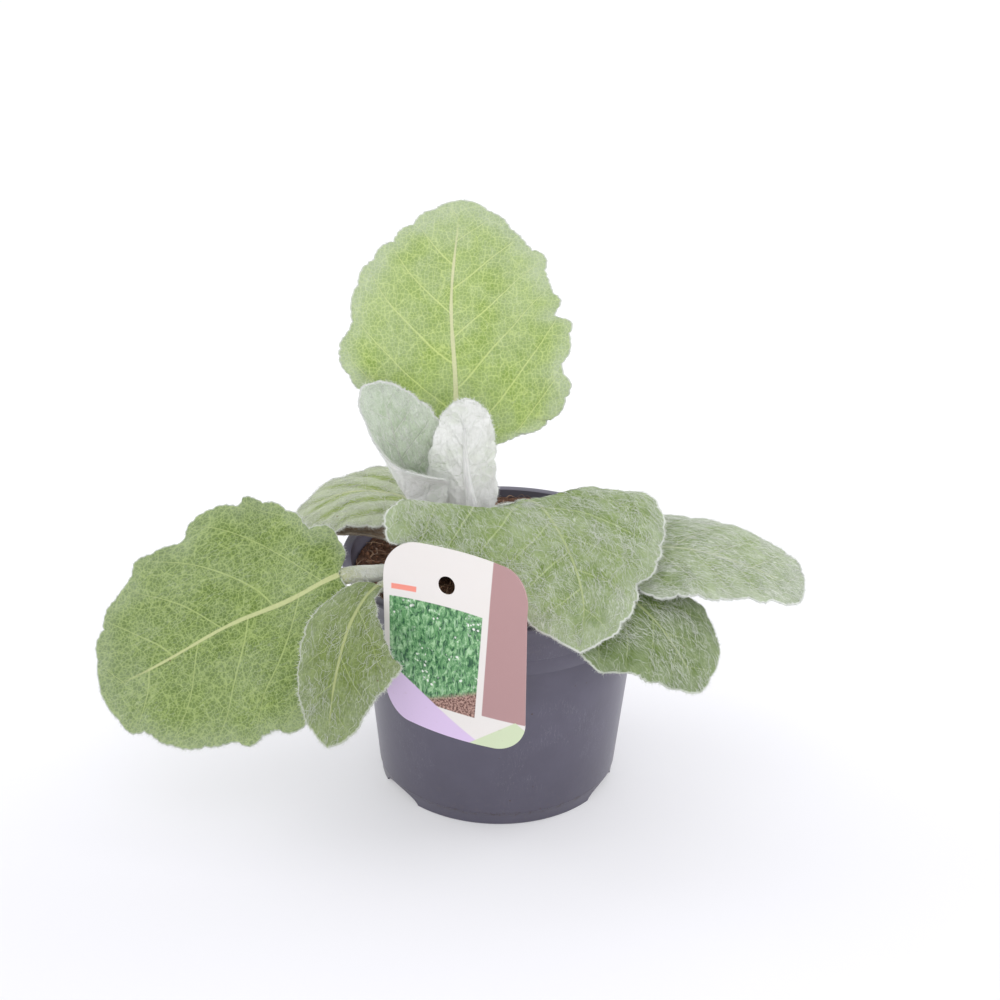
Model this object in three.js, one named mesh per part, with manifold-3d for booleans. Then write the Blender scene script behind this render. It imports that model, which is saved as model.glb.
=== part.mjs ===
// Potted silver sage: a rosette of woolly leaves in a round nursery pot, with a plant label.
// Millimetres, +Z up. The origin is on the pot's axis, on the face that the pot stands on.

import * as THREE from "three";
import { mergeVertices } from "three/addons/utils/BufferGeometryUtils.js";
import Module from "manifold-3d";

const wasm = await Module();
wasm.setup();

// Pot: a 17 cm nursery pot with a ring foot, arched drain notches and a rolled rim
const POT_HEIGHT = 130;
const RIM_RADIUS = 85;
const RIM_LIP_HEIGHT = 2.6;
const RIM_ROUNDING = 0.6;
const BASE_RADIUS = 64.3;
const WALL_TOP_RADIUS = 77.8;
const COLLAR_FOOT_Z = 107;
const COLLAR_STEP = 1.4;
const COLLAR_TOP_RADIUS = 81.2;
const WALL = 1.8;
const FOOT_BAND_HEIGHT = 7;
const FOOT_BAND_STEP = 0.5;
const FOOT_WIDTH = 3.4;
const FOOT_DRAFT = 0.8;
const CHANNEL_HEIGHT = 6;
const CENTRE_PAD_RADIUS = 40;
const CENTRE_PAD_SLOPE = 2;
const FLOOR_THICKNESS = 2;
const NOTCH_COUNT = 3;
const NOTCH_WIDTH = 31;
const NOTCH_HEIGHT = 5.5;
const NOTCH_START_ANGLE = 5;
const NOTCH_CUT_DEPTH = 14;
const DRAIN_HOLE_RADIUS = 3.5;
const DRAIN_HOLE_CUT_DEPTH = 12;
const DRAIN_HOLE_COUNT = 8;
const POT_SIDES = 40;

// Soil: fills the pot and stands just below the rim
const SOIL_LEVEL = 121.5;
const SOIL_RELIEF = 1.3;
const SOIL_BANK = 4;
const SOIL_BANK_START = 15;
const SOIL_BANK_END = 70;
const SOIL_SHOULDER = 3;
const SOIL_RINGS = 6;

// Crown: the short woody stem that carries every leaf
const CROWN_X = -18;
const CROWN_Y = -3;
const CROWN_RADIUS = 11;
const CROWN_BOTTOM = 104;
const CROWN_TOP = 137;
const CROWN_SIDES = 20;

// Label: a bent plastic card with a hang hole and a hook that grips the rim
const LABEL_WIDTH = 82;
const LABEL_HEIGHT = 98;
const LABEL_THICKNESS = 0.8;
const LABEL_CORNER = 16;
const LABEL_BOTTOM = 73;
const LABEL_FACING = -119.5;
const LABEL_SHIFT = 24;
const LABEL_TILT = 0.14;
const LABEL_BOW_LOW = 0.0037;
const LABEL_BOW_HIGH = -0.004;
const LABEL_HOLE_RADIUS = 4.8;
const LABEL_HOLE_FROM_TOP = 19;
const LABEL_HOLE_OFFSET = -8;
const LABEL_ROWS = 14;
const LABEL_COLUMNS = 8;
const HOOK_WIDTH = 14;
const HOOK_THICKNESS = 1;
const HOOK_DROP = 5;
const HOOK_LAP = 9;
const HOOK_LAP_THICKNESS = 1.2;

// Clearance that is kept where two pieces touch, and the soil's further play in the pot's wall
const FIT = 0.3;
const WALL_PLAY = 0.2;

// Leaf build: stations along each margin lobe and cells from midrib to margin
const STATIONS_PER_LOBE = 3;
const CELLS_ACROSS = 3;
const PETIOLE_SIDES = 8;
const PETIOLE_STEPS = 10;
const BLADE_THICKNESS = 1.3;
const MARGIN_THICKNESS = 0.9;
const TIP_INSET = 6;
const VEIN_LEAN = 1.25;
const RIB_REACH = 0.72;
const RIB_END_WIDTH = 1.6;
const SCALLOP_ROUNDNESS = 0.8;
const SCALLOP_CENTRE = 0.6;
const SLOPE_STEP = 0.004;
const WHOLE_BLADE = [99, 99];

const POT_COLOUR = 0x5c5a66;
const SOIL_COLOUR = 0x3b2a22;
const CROWN_COLOUR = 0xa08a78;
const LEAF_COLOUR = 0x8fa878;
const OLD_LEAF_COLOUR = 0x7f9a55;
const YOUNG_LEAF_COLOUR = 0xc9d2c4;
const DRY_LEAF_COLOUR = 0x7d6858;
const LABEL_COLOUR = 0xf4f2ec;

// Leaves. The spine runs from the crown along the petiole and the midrib to the tip, and the
// blade begins at spine point "junction". Its outline is laid flat: along the midrib from the
// junction, and out from it, on the left and on the right as seen on the upper face from the
// stalk. "face" is the way the upper face looks at the junction and at the tip. "curl" is the
// bend across the blade in hundredths of a radian per millimetre, at the junction and at the
// tip, and "fold" the dihedral in degrees, positive towards the upper face; each is given for
// the left and then for the right. "limit" is how far out the bend goes on before the blade
// runs straight. "lobes" and "scallop" are the margin's rounded teeth and their height,
// "ruffle" and "waves" its up and down, and "pleat" and "veins" the quilting between the veins.
// "petiole" is its width and height at the crown, and the same at the junction.
const LEAVES = [
  {
    name: "leaf_back",
    colour: OLD_LEAF_COLOUR,
    spine: [[-17, 6, 130], [-18, 19, 146], [-22, 27, 163], [-24, 30, 174], [-26, 43, 212], [-29, 62, 250],
      [-25, 96, 296]],
    junction: 3,
    face: [[0, -1, 0.3], [0, -0.8, 0.7]],
    left: [[0, 4], [8, 26], [20, 44], [31, 48], [42, 55], [52, 60], [62, 61], [69, 55], [84, 53], [98, 46],
      [110, 37], [126, 23], [137, 8]],
    right: [[0, 4], [4, 20], [8, 29], [14, 46], [26, 58], [36, 62], [42, 58], [52, 62], [66, 64], [72, 57],
      [84, 58], [94, 52], [112, 48], [118, 38], [131, 23], [139, 8]],
    curl: [[0.3, 0.1], [0.2, 0.1]],
    fold: [4, 4],
    lobes: 13, scallop: 1.8, seed: 3,
    ruffle: 1.5, waves: 4, pleat: 1.2, veins: 9,
    petiole: [8, 6, 6, 4],
  },
  {
    name: "leaf_left",
    colour: OLD_LEAF_COLOUR,
    spine: [[-28, -6, 127], [-45, -20, 130], [-65, -32, 134], [-82.5, -42, 137], [-110, -44, 122],
      [-140, -45, 108], [-177, -50, 86.5], [-208, -55, 71]],
    junction: 3,
    face: [[-0.2, -0.7, 0.7], [-0.3, -0.8, 0.5]],
    left: [[0, 4], [-4, 20], [6, 42], [22, 57], [43, 64], [54, 64], [64, 60], [75, 61], [86, 60], [93, 54],
      [104, 51], [121, 40], [127, 31], [136, 25], [141, 12]],
    right: [[0, 4], [-6, 11], [-3, 26], [6, 32], [10, 42], [20, 54], [39, 64], [44, 60], [56, 65], [68, 60],
      [72, 55], [84, 57], [96, 56], [107, 48], [121, 42], [130, 31], [137, 19]],
    curl: [[-0.5, -0.5], [-0.2, -0.3]],
    fold: [3, 3],
    lobes: 13, scallop: 1.6, seed: 8,
    ruffle: 1.5, waves: 4, pleat: 1.2, veins: 9,
    petiole: [9, 6, 8, 6],
  },
  {
    name: "leaf_front_left",
    colour: OLD_LEAF_COLOUR,
    spine: [[-23, -11.5, 126], [-42, -33, 134], [-62, -55, 138], [-74, -80, 130], [-81, -99, 106],
      [-84, -114, 78]],
    junction: 2,
    face: [[-0.3, -0.4, 0.9], [-0.3, -0.9, 0.4]],
    left: [[0, 3], [10, 5], [22, 12], [34, 21], [41, 26], [46, 33], [50, 32], [59, 26], [70, 20], [80, 16],
      [88, 9]],
    right: [[0, 3], [4, 12], [16, 19], [37, 23], [54, 22], [68, 18], [82, 12], [88, 6]],
    curl: [[-0.8, -0.4], [-0.8, -0.6]],
    fold: [3, 3],
    lobes: 9, scallop: 1, seed: 5,
    ruffle: 1, waves: 3, pleat: 0.9, veins: 7,
    petiole: [7, 5, 5, 3.6],
  },
  {
    name: "leaf_rear_left",
    colour: LEAF_COLOUR,
    spine: [[-24, 4, 130], [-38, 16, 141], [-50, 27, 147.5], [-80, 33, 149], [-113, 35, 135]],
    junction: 2,
    face: [[0, -0.2, 1], [-0.3, -0.2, 1]],
    left: [[0, 3], [-2, 14], [6, 24], [20, 27], [28, 28], [40, 28], [50, 27], [56, 22], [65, 9]],
    right: [[0, 3], [5, 18], [18, 25], [32, 21], [42, 18], [54, 13], [62, 6]],
    curl: [[-0.8, -0.9], [-0.6, -0.8]],
    fold: [0, 0],
    lobes: 8, scallop: 1, seed: 11,
    ruffle: 0.8, waves: 3, pleat: 2.4, veins: 5,
    petiole: [7, 5, 5, 3.6],
  },
  {
    name: "leaf_dry",
    colour: DRY_LEAF_COLOUR,
    spine: [[-28, 0, 126], [-43, 6, 129], [-58, 11, 131.5], [-75, 13.5, 134], [-92, 11, 135]],
    junction: 2,
    face: [[0, -0.3, 1], [0, -0.3, 1]],
    left: [[0, 2], [6, 5], [18, 6], [30, 5]],
    right: [[0, 2], [6, 5], [18, 6], [30, 4]],
    curl: [[18, 18], [18, 18]],
    fold: [5, 5],
    lobes: 4, scallop: 0.8, seed: 21,
    ruffle: 0, waves: 2, pleat: 0, veins: 4,
    petiole: [4, 3, 3, 2.4],
  },
  {
    name: "leaf_young_left",
    colour: YOUNG_LEAF_COLOUR,
    spine: [[-22, 1, 135.5], [-39, 9, 144.5], [-46, 14, 157], [-53, 16, 173], [-59, 17, 196], [-65, 18, 221]],
    junction: 2,
    face: [[0.3, -1, 0.2], [0.1, -1, 0.3]],
    left: [[-13, 6], [-12, 20], [-5, 31], [6, 35], [18, 32], [28, 24], [38, 17], [50, 15], [60, 14], [66, 10]],
    right: [[-6, 6], [0, 20], [12, 21], [22, 20], [32, 26], [44, 23], [54, 16], [62, 9]],
    curl: [[18, 0.5], [1, 0.5]],
    limit: [16, 99],
    fold: [4, 8],
    lobes: 8, scallop: 1.2, seed: 14,
    ruffle: 1, waves: 3, pleat: 0.9, veins: 6,
    petiole: [8, 6, 6, 4.5],
  },
  {
    name: "leaf_young_right",
    colour: YOUNG_LEAF_COLOUR,
    spine: [[-15, -1, 137], [-15, 4, 146], [-16, 7, 155], [-19, 8, 178], [-20, 8, 198], [-20, 6, 217]],
    junction: 2,
    face: [[0.1, 1, 0.2], [0.1, 1, 0.2]],
    left: [[-6, 6], [0, 14], [14, 15], [28, 16], [44, 15], [54, 11], [60, 5]],
    right: [[-6, 6], [0, 13], [14, 21], [26, 20], [36, 17], [48, 13], [58, 7]],
    curl: [[1.5, 1], [0.1, 0.3]],
    fold: [20, 2],
    lobes: 7, scallop: 1, seed: 17,
    ruffle: 0.8, waves: 3, pleat: 1.2, veins: 6,
    petiole: [8, 6, 6, 4.5],
  },
  {
    name: "leaf_front_right",
    colour: LEAF_COLOUR,
    spine: [[-10, 0, 131.5], [3, 14, 143], [9, 20, 150], [13, 15, 154], [22, -5, 158.5], [36, -42, 150],
      [42, -72, 139], [40, -97, 125]],
    junction: 3,
    face: [[0, -0.2, 1], [0, -0.7, 0.7]],
    left: [[4, 4], [12, 12], [9, 24], [9, 36], [12, 47], [18, 57], [30, 60], [42, 59], [53, 56], [60, 51],
      [69, 46], [78, 41], [84, 34], [86, 28], [93, 28], [98, 24], [103, 21], [110, 17], [117, 10]],
    right: [[4, 4], [14, 14], [19, 28], [23, 42], [22, 54], [14, 64], [10, 72], [14, 80], [20, 86], [27, 91],
      [35, 89], [39, 80], [48, 68], [70, 52], [90, 41], [106, 32], [115, 22], [120, 10]],
    curl: [[-0.5, -0.5], [0.1, -0.5]],
    fold: [2, 15],
    lobes: 14, scallop: 1.6, seed: 23,
    ruffle: 1.5, waves: 4, pleat: 1.4, veins: 9,
    petiole: [9, 7, 6.5, 4.5],
  },
  {
    name: "leaf_right",
    colour: LEAF_COLOUR,
    spine: [[-8.5, -6.5, 129], [20, -10, 137], [50, -14, 141.5], [72, -14, 142], [100, -14, 141], [130, -16, 133],
      [162, -14, 117]],
    junction: 3,
    face: [[0.1, -0.04, 1], [0.1, -0.3, 1]],
    left: [[0, 3], [-4, 18], [4, 35], [16, 39], [33, 39], [46, 36], [60, 37], [73, 37], [83, 33], [91, 24],
      [95, 12]],
    right: [[0, 3], [-5, 20], [-1, 39], [6, 45], [18, 43], [26, 40], [34, 37], [44, 34], [52, 29], [60, 25],
      [67, 24], [74, 19], [84, 15], [92, 9]],
    curl: [[-0.3, -0.8], [-0.2, -0.8]],
    fold: [0, 0],
    lobes: 10, scallop: 1.1, seed: 29,
    ruffle: 1, waves: 3, pleat: 1.2, veins: 7,
    petiole: [7, 5, 5.5, 3.8],
  },
  {
    name: "leaf_lower_right",
    colour: LEAF_COLOUR,
    spine: [[-12, -12, 125.5], [13, -26, 130.5], [38, -40, 135.5], [58, -50, 136.5], [78, -64, 126.5],
      [93, -72, 108], [103, -76, 91]],
    junction: 3,
    face: [[0.1, -0.2, 1], [0.5, -0.6, 0.6]],
    left: [[0, 3], [2, 10], [8, 18], [18, 25], [30, 32], [41, 37], [51, 34], [60, 29], [67, 19], [71, 8]],
    right: [[0, 3], [-1, 16], [4, 32], [11, 42], [18, 46], [26, 45], [34, 39], [39, 32], [46, 28], [53, 20],
      [60, 14], [68, 6]],
    curl: [[-1.3, -0.6], [-0.5, -0.5]],
    fold: [0, 0],
    lobes: 9, scallop: 1.1, seed: 31,
    ruffle: 1, waves: 3, pleat: 1.2, veins: 7,
    petiole: [7, 5, 5, 3],
  },
];

const deg = THREE.MathUtils.degToRad;
const lerp = THREE.MathUtils.lerp;
const clamp = THREE.MathUtils.clamp;

// A repeatable random number from 0 to 1 for each whole number
function chance(number) {
  let mix = Math.imul(number + 0x6d2b79f5, 0x85ebca6b);
  mix = Math.imul(mix ^ (mix >>> 15), 0xc2b2ae35);
  return ((mix ^ (mix >>> 16)) >>> 0) / 4294967296;
}

function geometryFrom(positions) {
  const geometry = new THREE.BufferGeometry();
  geometry.setAttribute("position", new THREE.Float32BufferAttribute(positions, 3));
  return geometry;
}

// A closed geometry as a solid, and a solid as a geometry
function solidOf(geometry) {
  const bare = geometry.index ? geometry.toNonIndexed() : geometry;
  bare.deleteAttribute("normal");
  bare.deleteAttribute("uv");
  const merged = mergeVertices(bare, 1e-4);
  const vertProperties = new Float32Array(merged.attributes.position.array);
  const triVerts = new Uint32Array(merged.index.array);
  return new wasm.Manifold(new wasm.Mesh({ numProp: 3, vertProperties, triVerts }));
}

function geometryOf(solid) {
  const mesh = solid.getMesh();
  const geometry = new THREE.BufferGeometry();
  geometry.setAttribute("position", new THREE.BufferAttribute(new Float32Array(mesh.vertProperties), 3));
  geometry.setIndex(new THREE.BufferAttribute(new Uint32Array(mesh.triVerts), 1));
  geometry.computeVertexNormals();
  return geometry;
}

function turned(profile, sides) {
  const lathe = new THREE.LatheGeometry(profile.map(([r, z]) => new THREE.Vector2(r, z)), sides);
  lathe.rotateX(Math.PI / 2);
  return lathe;
}

// A closed body through loops of points, with a flat cap on the first loop and on the last
function loft(loops) {
  const count = loops[0].length;
  const positions = [];
  const triangle = (...corners) => corners.forEach((p) => positions.push(p.x, p.y, p.z));
  for (let i = 0; i + 1 < loops.length; i += 1) {
    for (let j = 0; j < count; j += 1) {
      const next = (j + 1) % count;
      triangle(loops[i][j], loops[i][next], loops[i + 1][next]);
      triangle(loops[i][j], loops[i + 1][next], loops[i + 1][j]);
    }
  }
  const first = loops[0];
  const last = loops[loops.length - 1];
  for (let j = 1; j + 1 < count; j += 1) {
    triangle(first[0], first[j + 1], first[j]);
    triangle(last[0], last[j], last[j + 1]);
  }
  return geometryFrom(positions);
}

// A thin body between an upper and an under grid, split alike on both faces. Its rows run
// along and its columns run from left to right; a tip is closed by its own folded last row.
function slab(upper, under, tipped) {
  const positions = [];
  const quad = (a, b, c, d) => [a, b, c, a, c, d].forEach((p) => positions.push(p.x, p.y, p.z));
  const rows = upper.length - 1;
  const columns = upper[0].length - 1;
  for (let i = 0; i < rows; i += 1) {
    for (let j = 0; j < columns; j += 1) {
      quad(upper[i][j], upper[i][j + 1], upper[i + 1][j + 1], upper[i + 1][j]);
      quad(under[i + 1][j + 1], under[i][j + 1], under[i][j], under[i + 1][j]);
    }
    quad(upper[i][0], upper[i + 1][0], under[i + 1][0], under[i][0]);
    quad(upper[i + 1][columns], upper[i][columns], under[i][columns], under[i + 1][columns]);
  }
  for (let j = 0; j < columns; j += 1) {
    quad(upper[0][j + 1], upper[0][j], under[0][j], under[0][j + 1]);
    if (!tipped) {
      quad(upper[rows][j], upper[rows][j + 1], under[rows][j + 1], under[rows][j]);
    }
  }
  return geometryFrom(positions);
}

// Radii of the pot's wall at a height
function wallRadius(z) {
  return lerp(BASE_RADIUS, WALL_TOP_RADIUS, z / POT_HEIGHT);
}

function collarRadius(z) {
  const share = (z - COLLAR_FOOT_Z) / (POT_HEIGHT - RIM_LIP_HEIGHT - COLLAR_FOOT_Z);
  return lerp(wallRadius(COLLAR_FOOT_Z) + COLLAR_STEP, COLLAR_TOP_RADIUS, share);
}

function innerRadius(z) {
  return (z < COLLAR_FOOT_Z + WALL ? wallRadius(z) : collarRadius(z)) - WALL;
}

function pot() {
  const lipBottom = POT_HEIGHT - RIM_LIP_HEIGHT;
  const footInner = BASE_RADIUS - FOOT_WIDTH;
  const floorTop = CHANNEL_HEIGHT + FLOOR_THICKNESS;
  const profile = [
    [0, 0],
    [CENTRE_PAD_RADIUS - CENTRE_PAD_SLOPE, 0],
    [CENTRE_PAD_RADIUS, CHANNEL_HEIGHT],
    [footInner, CHANNEL_HEIGHT],
    [footInner + FOOT_DRAFT, 0],
    [BASE_RADIUS, 0],
    [wallRadius(FOOT_BAND_HEIGHT), FOOT_BAND_HEIGHT],
    [wallRadius(FOOT_BAND_HEIGHT) + FOOT_BAND_STEP, FOOT_BAND_HEIGHT + FOOT_BAND_STEP],
    [wallRadius(COLLAR_FOOT_Z), COLLAR_FOOT_Z],
    [wallRadius(COLLAR_FOOT_Z) + COLLAR_STEP, COLLAR_FOOT_Z + COLLAR_STEP / 2],
    [collarRadius(lipBottom), lipBottom],
    [RIM_RADIUS - RIM_ROUNDING, lipBottom],
    [RIM_RADIUS, lipBottom + RIM_ROUNDING],
    [RIM_RADIUS, POT_HEIGHT - RIM_ROUNDING],
    [RIM_RADIUS - RIM_ROUNDING, POT_HEIGHT],
    [collarRadius(POT_HEIGHT) - WALL + RIM_ROUNDING, POT_HEIGHT],
    [collarRadius(POT_HEIGHT) - WALL, POT_HEIGHT - RIM_ROUNDING],
    [innerRadius(COLLAR_FOOT_Z + WALL), COLLAR_FOOT_Z + WALL],
    [innerRadius(COLLAR_FOOT_Z), COLLAR_FOOT_Z],
    [innerRadius(floorTop), floorTop],
    [CENTRE_PAD_RADIUS - CENTRE_PAD_SLOPE, floorTop],
    [CENTRE_PAD_RADIUS - 2 * CENTRE_PAD_SLOPE, FLOOR_THICKNESS],
    [0, FLOOR_THICKNESS],
  ];
  let body = solidOf(turned(profile, POT_SIDES));
  for (let i = 0; i < NOTCH_COUNT; i += 1) {
    body = body.subtract(drainNotch(deg(NOTCH_START_ANGLE + (i * 360) / NOTCH_COUNT)));
  }
  for (let i = 0; i < DRAIN_HOLE_COUNT; i += 1) {
    body = body.subtract(drainHole(deg((i * 360) / DRAIN_HOLE_COUNT)));
  }
  return geometryOf(body);
}

// An arched opening through the ring foot
function drainNotch(angle) {
  const half = NOTCH_WIDTH / 2;
  const arch = new THREE.Shape();
  arch.moveTo(-half, -1);
  arch.lineTo(half, -1);
  arch.lineTo(half, 0);
  arch.absellipse(0, 0, half, NOTCH_HEIGHT, 0, Math.PI, false, 0);
  arch.lineTo(-half, -1);
  const options = { depth: NOTCH_CUT_DEPTH, bevelEnabled: false, curveSegments: 6 };
  const cut = new THREE.ExtrudeGeometry(arch, options);
  cut.rotateX(Math.PI / 2);
  cut.translate(0, BASE_RADIUS + NOTCH_CUT_DEPTH / 2, 0);
  cut.rotateZ(angle);
  return solidOf(cut);
}

function drainHole(angle) {
  const radius = DRAIN_HOLE_RADIUS;
  const cut = new THREE.CylinderGeometry(radius, radius, DRAIN_HOLE_CUT_DEPTH, 8);
  cut.rotateX(Math.PI / 2);
  cut.translate((CENTRE_PAD_RADIUS + BASE_RADIUS - FOOT_WIDTH) / 2, 0, CHANNEL_HEIGHT);
  cut.rotateZ(angle);
  return solidOf(cut);
}

// Height of the crumbly soil surface, which is banked up at the back
function soilHeight(x, y) {
  const broad = Math.sin(x / 13 + 0.8) * Math.cos(y / 11 - 0.4);
  const fine = Math.sin(x / 4.1 + y / 7.3) * Math.cos(y / 3.7 - x / 6.1);
  const bank = SOIL_BANK * THREE.MathUtils.smoothstep(y, SOIL_BANK_START, SOIL_BANK_END);
  return SOIL_LEVEL + bank + SOIL_RELIEF * (0.7 * broad + 0.5 * fine);
}

function soil() {
  const floorTop = CHANNEL_HEIGHT + FLOOR_THICKNESS + FIT;
  const collarFoot = COLLAR_FOOT_Z + WALL;
  const wallFit = (z) => innerRadius(z) - FIT - WALL_PLAY;
  const edge = wallFit(SOIL_LEVEL);
  const ring = (radius, height) => {
    const loop = [];
    for (let j = 0; j < POT_SIDES; j += 1) {
      const angle = (j * 2 * Math.PI) / POT_SIDES;
      const x = radius * Math.cos(angle);
      const y = radius * Math.sin(angle);
      loop.push(new THREE.Vector3(x, y, height ?? soilHeight(x, y)));
    }
    return loop;
  };
  const loops = [
    ring(CENTRE_PAD_RADIUS - 2 * CENTRE_PAD_SLOPE - FIT, FLOOR_THICKNESS + FIT),
    ring(CENTRE_PAD_RADIUS - CENTRE_PAD_SLOPE - FIT, floorTop),
    ring(wallFit(floorTop), floorTop),
    ring(wallFit(COLLAR_FOOT_Z), COLLAR_FOOT_Z),
    ring(wallFit(collarFoot), collarFoot + FIT),
    ring(wallFit(SOIL_LEVEL - SOIL_SHOULDER), SOIL_LEVEL - SOIL_SHOULDER),
  ];
  for (let i = 0; i < SOIL_RINGS; i += 1) {
    loops.push(ring(edge * (1 - i / SOIL_RINGS)));
  }
  return geometryOf(solidOf(loft(loops)).subtract(crownBody(FIT)));
}

// The crown stands in a plain hole in the soil; grown by a clearance it cuts that hole
function crownBody(grow) {
  const profile = [
    [0, CROWN_BOTTOM - grow],
    [CROWN_RADIUS - 3 + grow, CROWN_BOTTOM - grow],
    [CROWN_RADIUS - 1 + grow, CROWN_BOTTOM + 6],
    [CROWN_RADIUS + grow, SOIL_LEVEL - 2],
    [CROWN_RADIUS + grow, SOIL_LEVEL + 6],
    [CROWN_RADIUS - 2 + grow, SOIL_LEVEL + 11],
    [CROWN_RADIUS - 6 + grow, CROWN_TOP + grow],
    [0, CROWN_TOP + grow],
  ];
  const body = turned(profile, CROWN_SIDES);
  body.translate(CROWN_X, CROWN_Y, 0);
  return solidOf(body);
}

// Directions of the label: out of its face, and along it to its right edge
function labelAxes() {
  const facing = deg(LABEL_FACING);
  const out = new THREE.Vector3(Math.cos(facing), Math.sin(facing), 0);
  return { facing, out, along: new THREE.Vector3(-out.y, out.x, 0) };
}

// Distance of the card's face from the pot's axis, measured the way that the label faces. The
// card leans back over the pot, bent round it at the foot and a little hollow at the top.
function cardDepth(across, up) {
  const bow = lerp(LABEL_BOW_LOW, LABEL_BOW_HIGH, clamp(up / (LABEL_HEIGHT * 0.8), 0, 1));
  const bowAtRim = lerp(LABEL_BOW_LOW, LABEL_BOW_HIGH, (POT_HEIGHT - LABEL_BOTTOM) / (LABEL_HEIGHT * 0.8));
  const atRim = RIM_RADIUS + FIT + LABEL_THICKNESS + bowAtRim * LABEL_SHIFT ** 2;
  return atRim - bow * (across - LABEL_SHIFT) ** 2 - LABEL_TILT * (LABEL_BOTTOM + up - POT_HEIGHT);
}

function cardPoint(across, up, depth) {
  const { out, along } = labelAxes();
  const place = out.multiplyScalar(cardDepth(across, up) + depth);
  place.addScaledVector(along, across);
  place.z = LABEL_BOTTOM + up;
  return place;
}

function card() {
  const face = [];
  const back = [];
  for (let i = 0; i <= LABEL_ROWS; i += 1) {
    const up = (LABEL_HEIGHT * (1 - Math.cos((Math.PI * i) / LABEL_ROWS))) / 2;
    const bite = Math.max(0, LABEL_CORNER - Math.min(up, LABEL_HEIGHT - up));
    const inset = LABEL_CORNER - Math.sqrt(LABEL_CORNER ** 2 - bite ** 2);
    const half = LABEL_WIDTH / 2 - inset;
    const faceRow = [];
    const backRow = [];
    for (let j = 0; j <= LABEL_COLUMNS; j += 1) {
      const across = LABEL_SHIFT + half * ((2 * j) / LABEL_COLUMNS - 1);
      faceRow.push(cardPoint(across, up, 0));
      backRow.push(cardPoint(across, up, -LABEL_THICKNESS));
    }
    face.push(faceRow);
    back.push(backRow);
  }
  return solidOf(slab(face, back, false));
}

function hangHole() {
  const { facing } = labelAxes();
  const cut = new THREE.CylinderGeometry(LABEL_HOLE_RADIUS, LABEL_HOLE_RADIUS, 30, 16);
  cut.rotateZ(Math.PI / 2 + facing);
  const middle = cardPoint(LABEL_SHIFT + LABEL_HOLE_OFFSET, LABEL_HEIGHT - LABEL_HOLE_FROM_TOP, 0);
  cut.translate(middle.x, middle.y, middle.z);
  return solidOf(cut);
}

// A strip on the card's back that passes over the rim and down inside the pot
function rimHook() {
  const { facing } = labelAxes();
  const inside = collarRadius(POT_HEIGHT - HOOK_DROP) - WALL - 3 * FIT;
  const over = POT_HEIGHT + FIT;
  const top = over + HOOK_LAP;
  const cardMiddle = (z) => cardDepth(0, z - LABEL_BOTTOM) - LABEL_THICKNESS / 2;
  const outline = [
    [cardMiddle(over), over],
    [cardMiddle(top), top],
    [cardMiddle(top) - HOOK_LAP_THICKNESS, top],
    [cardMiddle(over) - 2 * HOOK_LAP_THICKNESS, over + HOOK_THICKNESS],
    [inside - HOOK_THICKNESS, over + HOOK_THICKNESS],
    [inside - HOOK_THICKNESS, POT_HEIGHT - HOOK_DROP],
    [inside, POT_HEIGHT - HOOK_DROP],
    [inside, over],
  ];
  const shape = new THREE.Shape(outline.map(([r, z]) => new THREE.Vector2(r, z)));
  const strip = new THREE.ExtrudeGeometry(shape, { depth: HOOK_WIDTH, bevelEnabled: false });
  strip.translate(0, 0, -HOOK_WIDTH / 2);
  strip.rotateX(Math.PI / 2);
  strip.rotateZ(facing);
  return solidOf(strip);
}

function label() {
  return geometryOf(card().subtract(hangHole()).add(rimHook()));
}

// The curves of a leaf, and the frame at any distance along its blade
function leafCurves(leaf) {
  const curve = (points) => new THREE.CatmullRomCurve3(points.map((p) => new THREE.Vector3(...p)));
  const spine = curve(leaf.spine);
  spine.arcLengthDivisions = 400;
  const whole = spine.getLength();
  const stalk = spine.getLengths()[Math.round((400 * leaf.junction) / (leaf.spine.length - 1))];
  const length = whole - stalk;
  const outlines = [leaf.left, leaf.right].map((side) => {
    return curve([...side, [length, 0]].map(([along, out]) => [along, out, 0]));
  });
  const [faceBase, faceTip] = leaf.face.map((f) => new THREE.Vector3(...f));
  const frameAt = (along) => {
    const share = clamp((stalk + along) / whole, 0, 1);
    const tangent = spine.getTangentAt(share);
    const normal = faceBase.clone().lerp(faceTip, clamp(along / length, 0, 1));
    normal.addScaledVector(tangent, -normal.dot(tangent)).normalize();
    return { centre: spine.getPointAt(share), tangent, normal, side: tangent.clone().cross(normal) };
  };
  const bladeFrameAt = (along) => {
    const frame = frameAt(Math.max(0, along));
    frame.centre.addScaledVector(frame.tangent, Math.min(0, along));
    return frame;
  };
  return { outlines, length, stalk, frameAt, bladeFrameAt };
}

// A point of the flat margin with its rounded lobes; t runs from the leaf's base to its tip
function marginPoint(leaf, curves, side, t) {
  const point = curves.outlines[side].getPointAt(t);
  const tangent = curves.outlines[side].getTangentAt(t);
  const phase = Math.min(leaf.lobes * t, leaf.lobes - 1e-6);
  const size = 0.5 + chance(leaf.seed * 64 + side * 32 + Math.floor(phase));
  const fade = Math.min(1, t * 10, (1 - t) * 8);
  const arch = Math.abs(Math.sin(Math.PI * phase)) ** SCALLOP_ROUNDNESS;
  const reach = leaf.scallop * size * fade * (arch - SCALLOP_CENTRE);
  return { along: point.x - tangent.y * reach, out: Math.max(0, point.y + tangent.x * reach) };
}

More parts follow.
